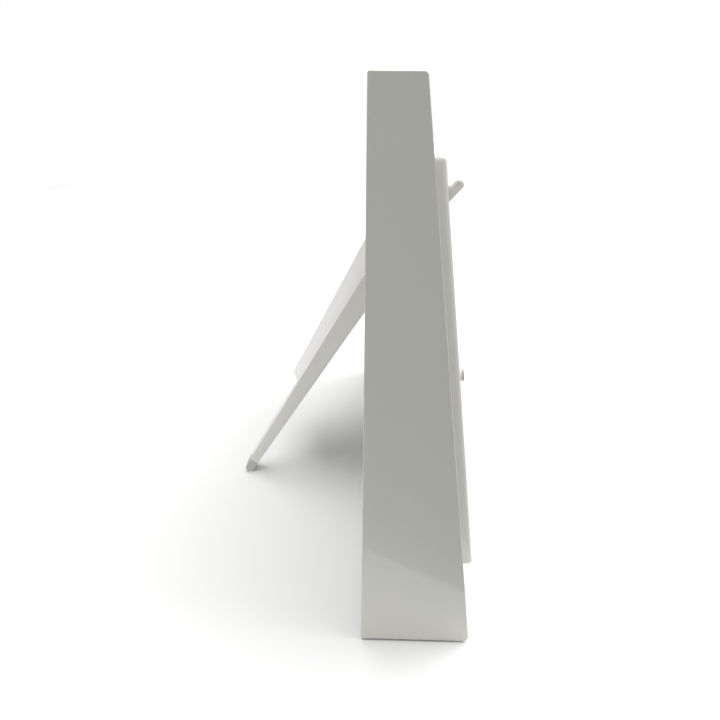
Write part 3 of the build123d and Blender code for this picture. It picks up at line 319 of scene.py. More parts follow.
class Paint:
    """A material under construction: its node tree and its surface shader."""

    def __init__(self, name, **surface):
        self.material = bpy.data.materials.new(name)
        self.material.use_nodes = True
        self.tree = self.material.node_tree
        self.shader = self.tree.nodes["Principled BSDF"]
        self.place = self.node("ShaderNodeTexCoord", out="Object")
        self.set(**surface)

    def node(self, kind, settings=None, values=None, out=0):
        """Adds a node, gives it its settings, then its values or links, and returns one output."""
        made = self.tree.nodes.new(kind)
        for key, value in (settings or {}).items():
            setattr(made, key, value)
        for key, value in (values or {}).items():
            self.feed(made.inputs[key], value)
        return Amount(self, made.outputs[out])

    def feed(self, socket, value):
        """Links a varying value to a socket, or sets the socket to a plain one."""
        if isinstance(value, Amount):
            self.tree.links.new(value.socket, socket)
        elif hasattr(socket.default_value, "__len__") and len(socket.default_value) == 4:
            socket.default_value = (*value[:3], 1)
        else:
            socket.default_value = value

    def set(self, **values):
        """Sets or links the surface shader's inputs, named with underscores for spaces."""
        titles = {"ior": "IOR", "specular_ior_level": "Specular IOR Level"}
        for key, value in values.items():
            title = titles.get(key, key.replace("_", " ").title())
            self.feed(self.shader.inputs[title], value)

    def stretched(self, stretch, turn=(0, 0, 0), shift=(0, 0, 0)):
        """The place on the piece, stretched, turned and shifted."""
        return self.node(
            "ShaderNodeMapping",
            values={"Vector": self.place, "Location": shift, "Rotation": turn, "Scale": stretch},
        )

    def noise(self, scale, detail=2, roughness=0.5, stretch=None, turn=(0, 0, 0)):
        """Even noise about one half, with `scale` features to the metre."""
        vector = self.place if stretch is None else self.stretched(stretch, turn)
        return self.node(
            "ShaderNodeTexNoise",
            values={"Vector": vector, "Scale": scale, "Detail": detail, "Roughness": roughness},
        )

    def cells(self, scale, feature="F1", metric="EUCLIDEAN", out="Distance"):
        """Cells about scattered points, such as the distance to the nearest point."""
        settings = {"feature": feature}
        if feature == "F1":
            settings["distance"] = metric
        values = {"Vector": self.place, "Scale": scale}
        return self.node("ShaderNodeTexVoronoi", settings, values, out)

    def bands(self, scale, direction="X", distortion=0.0):
        """Soft stripes across one axis."""
        return self.node(
            "ShaderNodeTexWave",
            {"wave_type": "BANDS", "bands_direction": direction, "wave_profile": "SIN"},
            {"Vector": self.place, "Scale": scale, "Distortion": distortion},
            out="Fac",
        )

    def band(self, value, low, high, bottom=0.0, top=1.0):
        """Smoothly from bottom to top as value goes from low to high."""
        return self.node(
            "ShaderNodeMapRange",
            {"interpolation_type": "SMOOTHSTEP"},
            {0: value, 1: low, 2: high, 3: bottom, 4: top},
        )

    def mix(self, factor, first, second):
        """A colour between two colours."""
        return self.node(
            "ShaderNodeMix",
            {"data_type": "RGBA"},
            {0: factor, 6: first, 7: second},
            out=2,
        )

    def bump(self, height, depth, under=None):
        """Relief of `depth` metres between height 0 and 1, on top of another relief."""
        values = {"Height": height, "Distance": depth, "Strength": 1.0}
        if under is not None:
            values["Normal"] = under
        relief = self.node("ShaderNodeBump", values=values)
        self.set(normal=relief)
        return relief

    def specks(self, scale, rim, patches, limits):
        """Small dots, 1 on a dot and 0 off it, in the patches where a slow noise is high."""
        return self.band(self.cells(scale), *rim) * self.band(self.noise(*patches), *limits)

    def scratches(self, scale, share, turn):
        """Thin lines, 1 on a line and 0 off it, broken up by a slow noise."""
        lines = self.noise(scale, 2, 0.6, stretch=(1, 1, 0.03), turn=turn)
        breaks = self.noise(scale / 6, 1)
        return self.band(lines, 1 - share, 1 - share / 2) * self.band(breaks, 0.5, 0.6)


def shade(colour, share):
    """The colour made lighter or darker by a share."""
    return tuple(min(1.0, channel * share) for channel in colour)


# ------------------------------------------------------------------ finishes
def glossy_moulding(name, colour, roughness, ripple, coat=0.35):
    """Polished white plastic: mould ripple, faint clouds, wiping marks and dust."""
    paint = Paint(name, ior=1.5, coat_weight=coat, coat_roughness=0.05)
    cloud = paint.noise(11, 3)
    fleck = paint.noise(1400, 1)
    wipe = paint.noise(26, 5, 0.62, stretch=(1, 1, 0.35), turn=(radians(18), radians(12), 0))
    print_marks = paint.noise(70, 6, 0.7)
    hairlines = paint.scratches(420, 0.30, (radians(24), radians(31), 0))
    dust = paint.specks(260, (0.055, 0.030), (35, 2), (0.56, 0.64))
    pigment = paint.mix(cloud * 0.7 + fleck * 0.3, shade(colour, 0.965), shade(colour, 1.03))
    warm = (colour[0], colour[1] * 0.985, colour[2] * 0.945)
    aged = paint.mix(paint.band(paint.noise(5, 2), 0.42, 0.72, 0, 0.55), pigment, warm)
    worn = paint.mix(hairlines * 0.16, aged, shade(colour, 0.72))
    paint.set(base_color=paint.mix(dust * 0.45, worn, (0.42, 0.40, 0.36)))
    smear = paint.band(print_marks, 0.50, 0.80, 0, 0.03)
    paint.set(roughness=roughness + (wipe - 0.5) * 0.08 + smear + hairlines * 0.08 + dust * 0.3)
    relief = paint.bump(paint.noise(240, 2, 0.4), ripple)
    relief = paint.bump(hairlines, -0.004 * MM, relief)
    paint.bump(dust, 0.012 * MM, relief)
    return paint.material


def grained_moulding(name, colour, roughness, grain=1500, depth=0.022 * MM):
    """Spark-eroded grain: fine pits with polished tops, and rubbed patches."""
    paint = Paint(name, ior=1.5, specular_ior_level=0.45)
    pits = paint.cells(grain)
    pebbles = paint.noise(grain * 1.3, 3, 0.65)
    rubbed = paint.band(paint.noise(16, 4, 0.6), 0.50, 0.70)
    cloud = paint.noise(9, 3)
    dust = paint.specks(210, (0.07, 0.035), (30, 2), (0.52, 0.60))
    pigment = paint.mix(cloud * 0.6 + pebbles * 0.4, shade(colour, 0.93), shade(colour, 1.04))
    # The pits are painted darker towards their centres.
    darker_in_pits = paint.mix(paint.band(pits, 0.05, 0.5, 0.22, 0), pigment, shade(colour, 0.70))
    paint.set(base_color=paint.mix(dust * 0.5, darker_in_pits, (0.40, 0.38, 0.35)))
    paint.set(roughness=roughness + (pebbles - 0.5) * 0.16 - rubbed * 0.14 + dust * 0.2)
    height = pits * (1 - rubbed * 0.35) + pebbles * 0.5
    paint.bump(height, depth)
    return paint.material


def rubber(name, colour, groove=0.0):
    """Matt elastomer with a fine stipple, and moulded grooves where groove is over 0."""
    paint = Paint(name, ior=1.45, specular_ior_level=0.35)
    stipple = paint.cells(2200)
    cloud = paint.noise(60, 4, 0.6)
    lint = paint.band(paint.noise(300, 2, 0.5, stretch=(0.2, 1, 1)), 0.68, 0.76)
    pigment = paint.mix(cloud, shade(colour, 0.86), shade(colour, 1.10))
    paint.set(base_color=paint.mix(lint * 0.3, pigment, shade(colour, 0.6)))
    paint.set(roughness=0.62 + (cloud - 0.5) * 0.2 + lint * 0.1)
    relief = paint.bump(stipple, 0.02 * MM)
    if groove:
        ribs = paint.band(paint.bands(groove, "Y"), 0.25, 0.6)
        paint.bump(ribs, 0.25 * MM, relief)
    return paint.material


def pressed_zinc_sheet(name, tint):
    """Galvanised sheet: a spangle of crystals, rolling lines and a few scratches."""
    paint = Paint(name)
    crystals = paint.node(
        "ShaderNodeSeparateColor", values={0: paint.cells(160, out="Color")}, out="Red"
    )
    veins = paint.band(paint.cells(160, "DISTANCE_TO_EDGE"), 0.0, 0.05, 1, 0)
    rolled = paint.noise(900, 2, 0.5, stretch=(0.03, 1, 1))
    marks = paint.scratches(500, 0.32, (radians(40), radians(25), 0))
    sheet = paint.mix(crystals, shade(tint, 0.84), shade(tint, 1.12))
    paint.set(base_color=paint.mix(veins * 0.3 + marks * 0.3, sheet, shade(tint, 0.6)))
    paint.set(metallic=0.92 - veins * 0.12)
    paint.set(roughness=0.30 + crystals * 0.16 + (rolled - 0.5) * 0.12 + marks * 0.1)
    relief = paint.bump(rolled, 0.004 * MM)
    paint.bump(veins, -0.006 * MM, relief)
    return paint.material


def plated_steel(name, tint, roughness=0.26, lines=(0.04, 1, 1)):
    """Bright plated steel with machining lines, handling marks and dull spots."""
    paint = Paint(name)
    turned = paint.noise(2600, 2, 0.5, stretch=lines)
    dull = paint.band(paint.noise(320, 4, 0.6), 0.50, 0.68)
    spots = paint.specks(900, (0.16, 0.08), (140, 1), (0.55, 0.62))
    metal = paint.mix(turned * 0.6 + dull * 0.4, shade(tint, 1.08), shade(tint, 0.80))
    paint.set(base_color=paint.mix(spots * 0.6, metal, (0.22, 0.18, 0.14)))
    paint.set(metallic=1 - spots * 0.5)
    paint.set(roughness=roughness + (turned - 0.5) * 0.16 + dull * 0.12 + spots * 0.2)
    paint.bump(turned, 0.004 * MM)
    return paint.material


def gilded_contacts(name):
    """Gold flash over nickel, rubbed through where a plug slides."""
    paint = Paint(name)
    slide = paint.band(paint.noise(3200, 2, 0.5, stretch=(0.05, 1, 1)), 0.52, 0.66)
    metal = paint.mix(slide, (0.86, 0.62, 0.26), (0.72, 0.66, 0.55))
    paint.set(base_color=metal, metallic=1.0)
    paint.set(roughness=0.22 + slide * 0.14)
    paint.bump(slide, -0.002 * MM)
    return paint.material


def solder_mask_board(name):
    """A circuit board: solder mask over copper tracks, plated holes and woven glass."""
    paint = Paint(name, ior=1.5, coat_weight=0.35, coat_roughness=0.2)
    tracks = paint.band(paint.cells(330, metric="CHEBYCHEV"), 0.30, 0.34, 1, 0)
    runs = paint.band(paint.bands(420, "Z", 1.2), 0.62, 0.74)
    copper = (tracks * 0.6).highest(runs * 0.5)
    spots = paint.cells(240)
    rings = paint.band(spots, 0.16, 0.14)
    holes = paint.band(spots, 0.09, 0.075)
    weave = paint.bands(900, "X") * paint.bands(900, "Z")
    mask = paint.mix(copper, (0.012, 0.115, 0.042), (0.035, 0.235, 0.085))
    mottled = paint.mix(paint.noise(120, 3) * 0.35, mask, (0.006, 0.07, 0.03))
    ringed = paint.mix(rings, mottled, (0.74, 0.66, 0.47))
    # The holes are painted near black, as painted shade inside them.
    paint.set(base_color=paint.mix(holes, ringed, (0.02, 0.018, 0.015)))
    paint.set(metallic=rings * (1 - holes) * 0.9)
    paint.set(roughness=0.34 - copper * 0.08 + weave * 0.06 + holes * 0.4)
    relief = paint.bump(copper, 0.03 * MM)
    relief = paint.bump(weave, 0.006 * MM, relief)
    paint.bump(rings - holes * 3.0, 0.03 * MM, relief)
    return paint.material


def chip_epoxy(name):
    """Black moulded epoxy with a matt skin and ejector dimples."""
    paint = Paint(name, ior=1.55, specular_ior_level=0.4)
    skin = paint.noise(4200, 3, 0.7)
    dimple = paint.band(paint.cells(85), 0.16, 0.12)
    paint.set(base_color=paint.mix(skin, (0.012, 0.012, 0.013), (0.034, 0.034, 0.036)))
    paint.set(roughness=0.55 + (skin - 0.5) * 0.3 - dimple * 0.3)
    relief = paint.bump(skin, 0.008 * MM)
    paint.bump(dimple, -0.05 * MM, relief)
    return paint.material


def black_nylon(name, colour=(0.022, 0.022, 0.024)):
    """Glass-filled nylon: fibres just under a dark skin."""
    paint = Paint(name, ior=1.52, specular_ior_level=0.45)
    fibres = paint.band(paint.noise(1800, 2, 0.5, stretch=(0.08, 1, 1)), 0.58, 0.72)
    skin = paint.noise(700, 4, 0.6)
    base = paint.mix(skin, shade(colour, 0.75), shade(colour, 1.4))
    paint.set(base_color=paint.mix(fibres * 0.35, base, shade(colour, 3.2)))
    paint.set(roughness=0.44 + (skin - 0.5) * 0.2 - fibres * 0.1)
    paint.bump(skin + fibres * 0.5, 0.01 * MM)
    return paint.material


def milky_nylon(name):
    """Unfilled nylon of the washers, slightly yellow and waxy."""
    paint = Paint(name, ior=1.53, subsurface_weight=0.15, subsurface_scale=0.002)
    flow = paint.noise(300, 4, 0.6)
    paint.set(base_color=paint.mix(flow, (0.78, 0.74, 0.64), (0.86, 0.84, 0.77)))
    paint.set(roughness=0.38 + (flow - 0.5) * 0.2)
    paint.bump(flow, 0.01 * MM)
    return paint.material


def cover_glass(name):
    """Clear glass with a smoke tint, wiping marks and a little dust."""
    paint = Paint(name, ior=1.52, coat_weight=0.6, coat_roughness=0.03)
    wipe = paint.noise(22, 5, 0.65, stretch=(0.4, 1, 1), turn=(0, radians(20), 0))
    prints = paint.band(paint.noise(90, 6, 0.7), 0.56, 0.74)
    dust = paint.specks(340, (0.05, 0.025), (25, 2), (0.54, 0.6))
    paint.set(base_color=paint.mix(dust, (0.016, 0.018, 0.021), (0.34, 0.33, 0.31)))
    paint.set(roughness=0.035 + paint.band(wipe, 0.45, 0.75, 0, 0.05) + prints * 0.06 + dust * 0.4)
    paint.set(alpha=0.42)
    paint.bump(paint.noise(60, 2), 0.003 * MM)
    return paint.material


def switched_off_panel(name):
    """The dark liquid crystal panel: a fine grid of cells under a grey polariser."""
    paint = Paint(name, ior=1.5, coat_weight=0.8, coat_roughness=0.18)
    columns = paint.band(paint.bands(580, "X"), 0.10, 0.25)
    rows = paint.band(paint.bands(580, "Z"), 0.10, 0.25)
    glow = paint.noise(7, 2)
    cell = paint.mix(glow, (0.0090, 0.0100, 0.0130), (0.0150, 0.0160, 0.0200))
    paint.set(base_color=paint.mix(columns * rows, (0.0035, 0.0035, 0.0040), cell))
    paint.set(roughness=0.30 + (glow - 0.5) * 0.06 + rows * 0.04)
    paint.bump(columns * rows, 0.002 * MM)
    return paint.material


def optical_sheet(name, colour, dot_scale):
    """White sheet or acrylic slab with a field of fine printed dots."""
    paint = Paint(name, ior=1.49, subsurface_weight=0.2, subsurface_scale=0.002)
    dots = paint.band(paint.cells(dot_scale), 0.30, 0.22)
    haze = paint.noise(14, 3)
    sheet = paint.mix(haze, shade(colour, 0.95), shade(colour, 1.03))
    paint.set(base_color=paint.mix(dots * 0.4, sheet, (0.95, 0.95, 0.95)))
    paint.set(roughness=0.22 + haze * 0.12 + dots * 0.3)
    paint.bump(dots, 0.01 * MM)
    return paint.material


def lamp_strip(name, pitch):
    """White board of the light bar with yellow phosphor at every lamp."""
    paint = Paint(name, ior=1.5, coat_weight=0.2)
    lamps = paint.band(paint.bands(pitch, "X"), 0.70, 0.82)
    grain = paint.noise(900, 3)
    board = paint.mix(grain, (0.74, 0.75, 0.72), (0.83, 0.83, 0.80))
    paint.set(base_color=paint.mix(lamps * 0.85, board, (0.82, 0.63, 0.16)))
    paint.set(roughness=0.35 + grain * 0.15)
    paint.bump(grain, 0.008 * MM)
    return paint.material


def printed_flex(name, film, copper, scale, direction="X"):
    """Flexible film with parallel copper tracks under it."""
    paint = Paint(name, ior=1.6, coat_weight=0.3, coat_roughness=0.15)
    tracks = paint.band(paint.bands(scale, direction, 0.05), 0.42, 0.58)
    wrinkle = paint.noise(180, 3, 0.5)
    lit = paint.mix(wrinkle, shade(film, 0.85), shade(film, 1.1))
    paint.set(base_color=paint.mix(tracks * 0.7, lit, copper))
    paint.set(metallic=tracks * 0.35)
    paint.set(roughness=0.32 + (wrinkle - 0.5) * 0.2)
    relief = paint.bump(tracks, 0.03 * MM)
    paint.bump(wrinkle, 0.05 * MM, relief)
    return paint.material


def paper_cone(name, centre):
    """Speaker: pressed paper with rings about its own centre, in a black frame."""
    paint = Paint(name, ior=1.4, specular_ior_level=0.25)
    about = paint.stretched((1, 1, 1), shift=(-centre[0], -centre[1], -centre[2]))
    reach = paint.node("ShaderNodeVectorMath", {"operation": "LENGTH"}, {0: about}, out="Value")
    wave = paint.node("ShaderNodeMath", {"operation": "SINE"}, {0: reach * 5200.0})
    pulp = paint.noise(1600, 5, 0.7)
    paint.set(base_color=paint.mix(pulp, (0.018, 0.017, 0.016), (0.055, 0.052, 0.048)))
    paint.set(roughness=0.72 + (pulp - 0.5) * 0.3)
    relief = paint.bump(pulp, 0.02 * MM)
    paint.bump(wave, 0.04 * MM, relief)
    return paint.material


def table_top(name):
    """The plain pale table that the frame stands on."""
    paint = Paint(name, ior=1.45, specular_ior_level=0.2)
    cloud = paint.noise(3, 3)
    paint.set(base_color=paint.mix(cloud, (0.945, 0.945, 0.94), (0.965, 0.965, 0.96)))
    paint.set(roughness=0.55 + (cloud - 0.5) * 0.1)
    return paint.material


# ------------------------------------------------------------- mesh handling
def only(obj):
    """Leaves edit mode, and makes obj the one selected and active object."""
    if bpy.context.mode != "OBJECT":
        bpy.ops.object.mode_set(mode="OBJECT")
    bpy.ops.object.select_all(action="DESELECT")
    obj.select_set(True)
    bpy.context.view_layer.objects.active = obj


def edit(obj, kind="FACE"):
    """Goes into edit mode on obj alone with nothing selected."""
    only(obj)
    bpy.ops.object.mode_set(mode="EDIT")
    bpy.ops.mesh.select_mode(type=kind)
    bpy.ops.mesh.select_all(action="DESELECT")


def pick(obj, test, kind="FACE"):
    """In edit mode, selects the faces or edges of obj for which test is true, and counts them."""
    bpy.ops.mesh.select_mode(type=kind)
    bpy.ops.mesh.select_all(action="DESELECT")
    bpy.ops.object.mode_set(mode="OBJECT")
    items = obj.data.polygons if kind == "FACE" else obj.data.edges
    found = [item for item in items if test(item)]
    for item in found:
        item.select = True
    bpy.ops.object.mode_set(mode="EDIT")
    return len(found)


def start(primitive, name, **settings):
    """A new primitive at its size and place, alone in the selection."""
    bpy.ops.object.select_all(action="DESELECT")
    primitive(**settings)
    obj = bpy.context.object
    obj.name = name
    bpy.ops.object.transform_apply(location=True, rotation=True, scale=True)
    return obj


def apply_modifier(obj, kind, **settings):
    """Gives obj a modifier with these settings and applies it."""
    only(obj)
    modifier = obj.modifiers.new(kind.title(), kind)
    for key, value in settings.items():
        setattr(modifier, key, value)
    bpy.ops.object.modifier_apply(modifier=modifier.name)


def set_down(obj, spot, outward):
    """Turns obj's own +Z to outward, moves it to spot and puts that place into its mesh."""
    only(obj)
    turn = outward.to_track_quat("Z", "Y").to_matrix().to_4x4()
    obj.matrix_world = Matrix.Translation(spot) @ turn
    bpy.ops.object.transform_apply(location=True, rotation=True, scale=True)


def copy_of(node, name):
    """A new object with a merged copy of a CAD node's mesh, its flat faces whole again."""
    obj = bpy.data.objects.new(name, NODES[node].data.copy())
    bpy.context.scene.collection.objects.link(obj)
    obj.data.materials.clear()
    edit(obj, "VERT")
    bpy.ops.mesh.select_all(action="SELECT")
    bpy.ops.mesh.remove_doubles(threshold=MERGE_DISTANCE)
    bpy.ops.mesh.customdata_custom_splitnormals_clear()
    bpy.ops.mesh.dissolve_limited(angle_limit=FLAT_ANGLE)
    bpy.ops.mesh.normals_make_consistent(inside=False)
    only(obj)
    return obj


def finish_piece(obj, material, body, slot, *nodes, angle=35):
    """Smooths a new piece, paints it, and lets it ride in place of its CAD nodes."""
    only(obj)
    bpy.ops.object.shade_smooth_by_angle(angle=radians(angle))
    obj.data.materials.clear()
    obj.data.materials.append(material)
    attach(obj, body)
    if nodes:
        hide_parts(*nodes)
    return obj


def paint_node(node, material):
    """Gives a carried-over node its finish."""
    mesh = NODES[node].data
    mesh.materials.clear()
    mesh.materials.append(material)


def islands(node, outward):
    """(top centre, radius, length) of every separate solid of a node, seen along outward."""
    whole = copy_of(node, node + "_islands")
    edit(whole)
    bpy.ops.mesh.separate(type="LOOSE")
    bpy.ops.object.mode_set(mode="OBJECT")
    found = []
    for part in list(bpy.context.selected_objects):
        points = [vertex.co.copy() for vertex in part.data.vertices]
        levels = [point.dot(outward) for point in points]
        flat = [point - outward * level for point, level in zip(points, levels)]
        low = Vector([min(point[axis] for point in flat) for axis in range(3)])
        high = Vector([max(point[axis] for point in flat) for axis in range(3)])
        middle = (low + high) / 2
        radius = max((point - middle).length for point in flat)
        found.append((middle + outward * max(levels), radius, max(levels) - min(levels)))
        bpy.data.objects.remove(part)
    found.sort(key=lambda place: (round(place[0].x, 4), round(place[0].z, 4)))
    return found


# --------------------------------------------------------------- new pieces
def round_edges(piece, width, sharper_than, segments=3):
    """Bevels the edges of a piece that turn by more than an angle in degrees."""
    apply_modifier(
        piece,
        "BEVEL",
        width=width,
        segments=segments,
        limit_method="ANGLE",
        angle_limit=radians(sharper_than),
    )


def cross_cutter(span, width, depth):
    """Two crossed wedges that narrow downwards, for a screw's cross recess."""
    foot_share = 0.45
    wedges = []
    for across, along in ((span, width), (width, span)):
        wedge = start(
            bpy.ops.mesh.primitive_cube_add, "recess", size=1, scale=(across, along, 2 * depth)
        )
        edit(wedge)
        pick(wedge, lambda face: face.normal.z < -0.5)
        bpy.ops.transform.resize(value=(foot_share, foot_share, 1))
        only(wedge)
        wedges.append(wedge)
    apply_modifier(wedges[0], "BOOLEAN", operation="UNION", object=wedges[1], solver="EXACT")
    bpy.data.objects.remove(wedges[1])
    return wedges[0]


def model_screw(name, radius, length, head, recess_share):
    """A domed screw with a cross recess and a shank, its head's top at the origin."""
    shank = radius * 0.5
    tip_share = 0.5
    dome = head * 0.62
    recess_depth = head * 0.62
    recess_width = radius * 0.26
    screw = start(
        bpy.ops.mesh.primitive_cylinder_add,
        name,
        vertices=40,
        radius=radius,
        depth=head,
        location=(0, 0, -head / 2),
    )
    edit(screw)
    pick(screw, lambda face: face.normal.z > 0.9)
    bpy.ops.mesh.bevel(offset=dome, segments=5, profile=0.5, affect="EDGES")
    pick(screw, lambda face: face.normal.z < -0.9)
    bpy.ops.mesh.inset(thickness=radius - shank, depth=0)
    bpy.ops.mesh.extrude_region_move(TRANSFORM_OT_translate={"value": (0, 0, head - length)})
    bpy.ops.transform.resize(value=(tip_share, tip_share, 1))
    only(screw)
    cutter = cross_cutter(2 * radius * recess_share, recess_width, recess_depth)
    apply_modifier(screw, "BOOLEAN", operation="DIFFERENCE", object=cutter, solver="EXACT")
    bpy.data.objects.remove(cutter)
    round_edges(screw, 0.03 * MM, 50, segments=1)
    return screw


def fit_screws(node, outward, head, recess_share, material):
    """A modelled screw at every plain one of a node, each turned a little further."""
    places = islands(node, outward)
    if not places:
        raise RuntimeError(f"{node} has no screws to model")
    _, radius, length = places[0]
    turn_step = radians(37)
    master = model_screw(node + "_master", radius, length, head, recess_share)
    for number, (spot, _, _) in enumerate(places, 1):
        screw = bpy.data.objects.new(f"{node}_{number}", master.data.copy())
        bpy.context.scene.collection.objects.link(screw)
        edit(screw)
        bpy.ops.mesh.select_all(action="SELECT")
        bpy.ops.transform.rotate(
            value=number * turn_step, orient_axis="Z", center_override=(0, 0, 0)
        )
        set_down(screw, spot, outward)
        finish_piece(screw, material, "frame", "screws", node, angle=30)
    bpy.data.objects.remove(master)


def reach_of(offset):
    """Distance from the lever's pivot line, which runs along X."""
    return Vector((0, offset.y, offset.z)).length


def model_lever(settings, material):
    """The lever's bat with its side faces sunk a little inside a raised rim."""
    lever = copy_of("browse_lever", "browse_lever_bat")
    pivot = Vector(joint_of("lever_tilt")["pos_m"])
    tip = max((vertex.co - pivot for vertex in lever.data.vertices), key=reach_of)
    along = Vector((0, tip.y, tip.z)).normalized()
    neck = pivot + along * settings.lever_neck
    least_side_area = 4 * MM * MM
    edit(lever)
    bpy.ops.mesh.select_all(action="SELECT")
    bpy.ops.mesh.bisect(plane_co=neck, plane_no=along)
    bat_sides = pick(
        lever,
        lambda face: abs(face.normal.x) > 0.98
        and face.area > least_side_area
        and (face.center - neck).dot(along) > 0,
    )
    if bat_sides != 2:
        raise RuntimeError(f"the lever's bat has {bat_sides} side faces instead of 2")
    bpy.ops.mesh.inset(thickness=settings.lever_rim, depth=0)
    bpy.ops.mesh.inset(thickness=settings.lever_rim / 3, depth=-settings.lever_sink)
    only(lever)
    return finish_piece(lever, material, "browse_lever", "controls", "browse_lever", angle=28)


def model_button(node, outward, rim_share, flange, material):
    """A turned cap with a rim and a shallow dish, on a flange. Its body has its node's name."""
    cap_share = 0.25
    dish = ((0.12, 0), (0.16, 0.07 * MM), (0.14, 0.04 * MM))
    points = [vertex.co.copy() for vertex in NODES[node].data.vertices]
    levels = [point.dot(outward) for point in points]
    top = max(levels)
    height = top - min(levels)
    near_top = [point for point in points if point.dot(outward) > top - cap_share * height]
    middle = sum(near_top, Vector()) / len(near_top)
    middle += outward * (top - middle.dot(outward))
    cap_radius = max((point - middle).cross(outward).length for point in near_top)
    flange_radius = max((point - middle).cross(outward).length for point in points)
    cap = start(
        bpy.ops.mesh.primitive_cylinder_add,
        node + "_cap",
        vertices=64,
        radius=flange_radius,
        depth=flange,
        location=(0, 0, flange / 2 - height),
    )
    edit(cap)
    pick(cap, lambda face: face.normal.z > 0.9)
    bpy.ops.mesh.inset(thickness=flange_radius - cap_radius, depth=0)
    bpy.ops.mesh.extrude_region_move(TRANSFORM_OT_translate={"value": (0, 0, height - flange)})
    bpy.ops.mesh.bevel(offset=height * rim_share, segments=8, profile=0.5, affect="EDGES")
    pick(cap, lambda face: face.normal.z > 0.99 and face.center.z > -0.1 * MM)
    for share, sink in dish:
        bpy.ops.mesh.inset(thickness=cap_radius * share, depth=-sink)
    set_down(cap, middle, outward)
    return finish_piece(cap, material, node, "controls", node, angle=40)


def model_strut(settings, material):
    """The strut with its moulded edges rounded."""
    strut = copy_of("strut_frame", "strut_body")
    round_edges(strut, settings.strut_edge, 40)
    return finish_piece(strut, material, "strut", "strut", "strut_frame", angle=30)


def model_foot(settings, material):
    """The cap on the strut's foot with its edges rounded."""
    foot = copy_of("strut_foot", "strut_foot_cap")
    round_edges(foot, settings.strut_edge, 60)
    return finish_piece(foot, material, "strut", "rubber", "strut_foot", angle=40)


def model_contacts(settings, material):
    """Four gilded contacts on the tongue of the USB socket, the outer two a little longer."""
    tongue_depth = 2.72 * MM
    mouth_gap = 1.2 * MM
    contact_width = 1.0 * MM
    contact_height = 0.12 * MM
    lip_reach = 0.5 * MM
    lip_rise = 0.05 * MM
    inner_share = 0.86
    low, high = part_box("usb_port")
    middle_z = (low.z + high.z) / 2
    for number, (offset, share) in enumerate(
        ((-3.5, 1.0), (-1.0, inner_share), (1.0, inner_share), (3.5, 1.0)), 1
    ):
        length = settings.contact_length * share
        place = Vector(
            (high.x - mouth_gap - length / 2, high.y - tongue_depth, middle_z + offset * MM)
        )
        contact = start(
            bpy.ops.mesh.primitive_cube_add,
            f"usb_contact_{number}",
            size=1,
            location=place,
            scale=(length, contact_height, contact_width),
        )
        edit(contact)
        pick(contact, lambda face: face.normal.x > 0.9)
        bpy.ops.mesh.extrude_region_move(
            TRANSFORM_OT_translate={"value": (lip_reach, lip_rise, 0)}
        )
        bpy.ops.transform.resize(value=(1, 0.4, 0.7))
        round_edges(contact, 0.03 * MM, 30, segments=2)
        finish_piece(contact, material, "frame", "steel")


# ----------------------------------------------------------------- operators
class PHOTOFRAME_OT_casing(bpy.types.Operator):
    """Paints the surround, the rear cover and the base pad"""

    bl_idname = "photo_frame.casing"
    bl_label = "Finish the casing"

    def execute(self, context):
        look = context.scene.photo_frame_finish
        shell = glossy_moulding(
            "surround_gloss", look.shell_colour, look.gloss_roughness, look.peel_height, 0.9
        )
        paint_node("surround_shell", shell)
        cover = grained_moulding("rear_grain", shade(look.shell_colour, 1.02), 0.5)
        paint_node("rear_cover", cover)
        paint_node("base_pad", rubber("pad_rubber", (0.17, 0.17, 0.172), 34))
        return {"FINISHED"}


class PHOTOFRAME_OT_display(bpy.types.Operator):
    """Paints the bezel, the glass and the layers of the display behind it"""

    bl_idname = "photo_frame.display"
    bl_label = "Finish the display"

    def execute(self, context):
        look = context.scene.photo_frame_finish
        bezel = glossy_moulding(
            "bezel_gloss", look.module_colour, look.gloss_roughness * 0.8, look.peel_height, 0.5
        )
        paint_node("display_bezel", bezel)
        paint_node("cover_glass", cover_glass("front_glass"))
        paint_node("lcd_panel", switched_off_panel("dark_panel"))
        paint_node("diffuser_sheet", optical_sheet("diffuser", (0.84, 0.85, 0.87), 1800))
        paint_node("light_guide", optical_sheet("guide_acrylic", (0.72, 0.76, 0.80), 420))
        paint_node("led_bar", lamp_strip("lamp_board", 55))
        paint_node("panel_frame", black_nylon("panel_frame_nylon"))
        paint_node("display_chassis", pressed_zinc_sheet("chassis_sheet", (0.62, 0.64, 0.66)))
        flex = printed_flex("panel_flex", (0.42, 0.20, 0.05), (0.66, 0.36, 0.12), 320)
        paint_node("display_flex", flex)
        return {"FINISHED"}


class PHOTOFRAME_OT_controls(bpy.types.Operator):
    """Models the lever and the buttons, and paints what lies behind them"""

    bl_idname = "photo_frame.controls"
    bl_label = "Make the controls"

    def execute(self, context):
        look = context.scene.photo_frame_finish
        detail = context.scene.photo_frame_detail
        skin = glossy_moulding(
            "control_gloss", shade(look.module_colour, 0.98), 0.30, look.peel_height, 0.25
        )
        model_lever(detail, skin)
        model_button("menu_button", FACE_OUT, 0.22, detail.button_flange, skin)
        model_button("power_button", REARWARD, 0.05, detail.button_flange, skin)
        paint_node("control_board", solder_mask_board("control_mask"))
        switch = black_nylon("switch_nylon", (0.03, 0.03, 0.032))
        for node in ("button_switch", "lever_switch", "power_switch"):
            paint_node(node, switch)
        bracket = plated_steel("bracket_steel", (0.70, 0.70, 0.70))
        for node in ("lever_bracket", "lever_pin", "lever_spring"):
            paint_node(node, bracket)
        return {"FINISHED"}


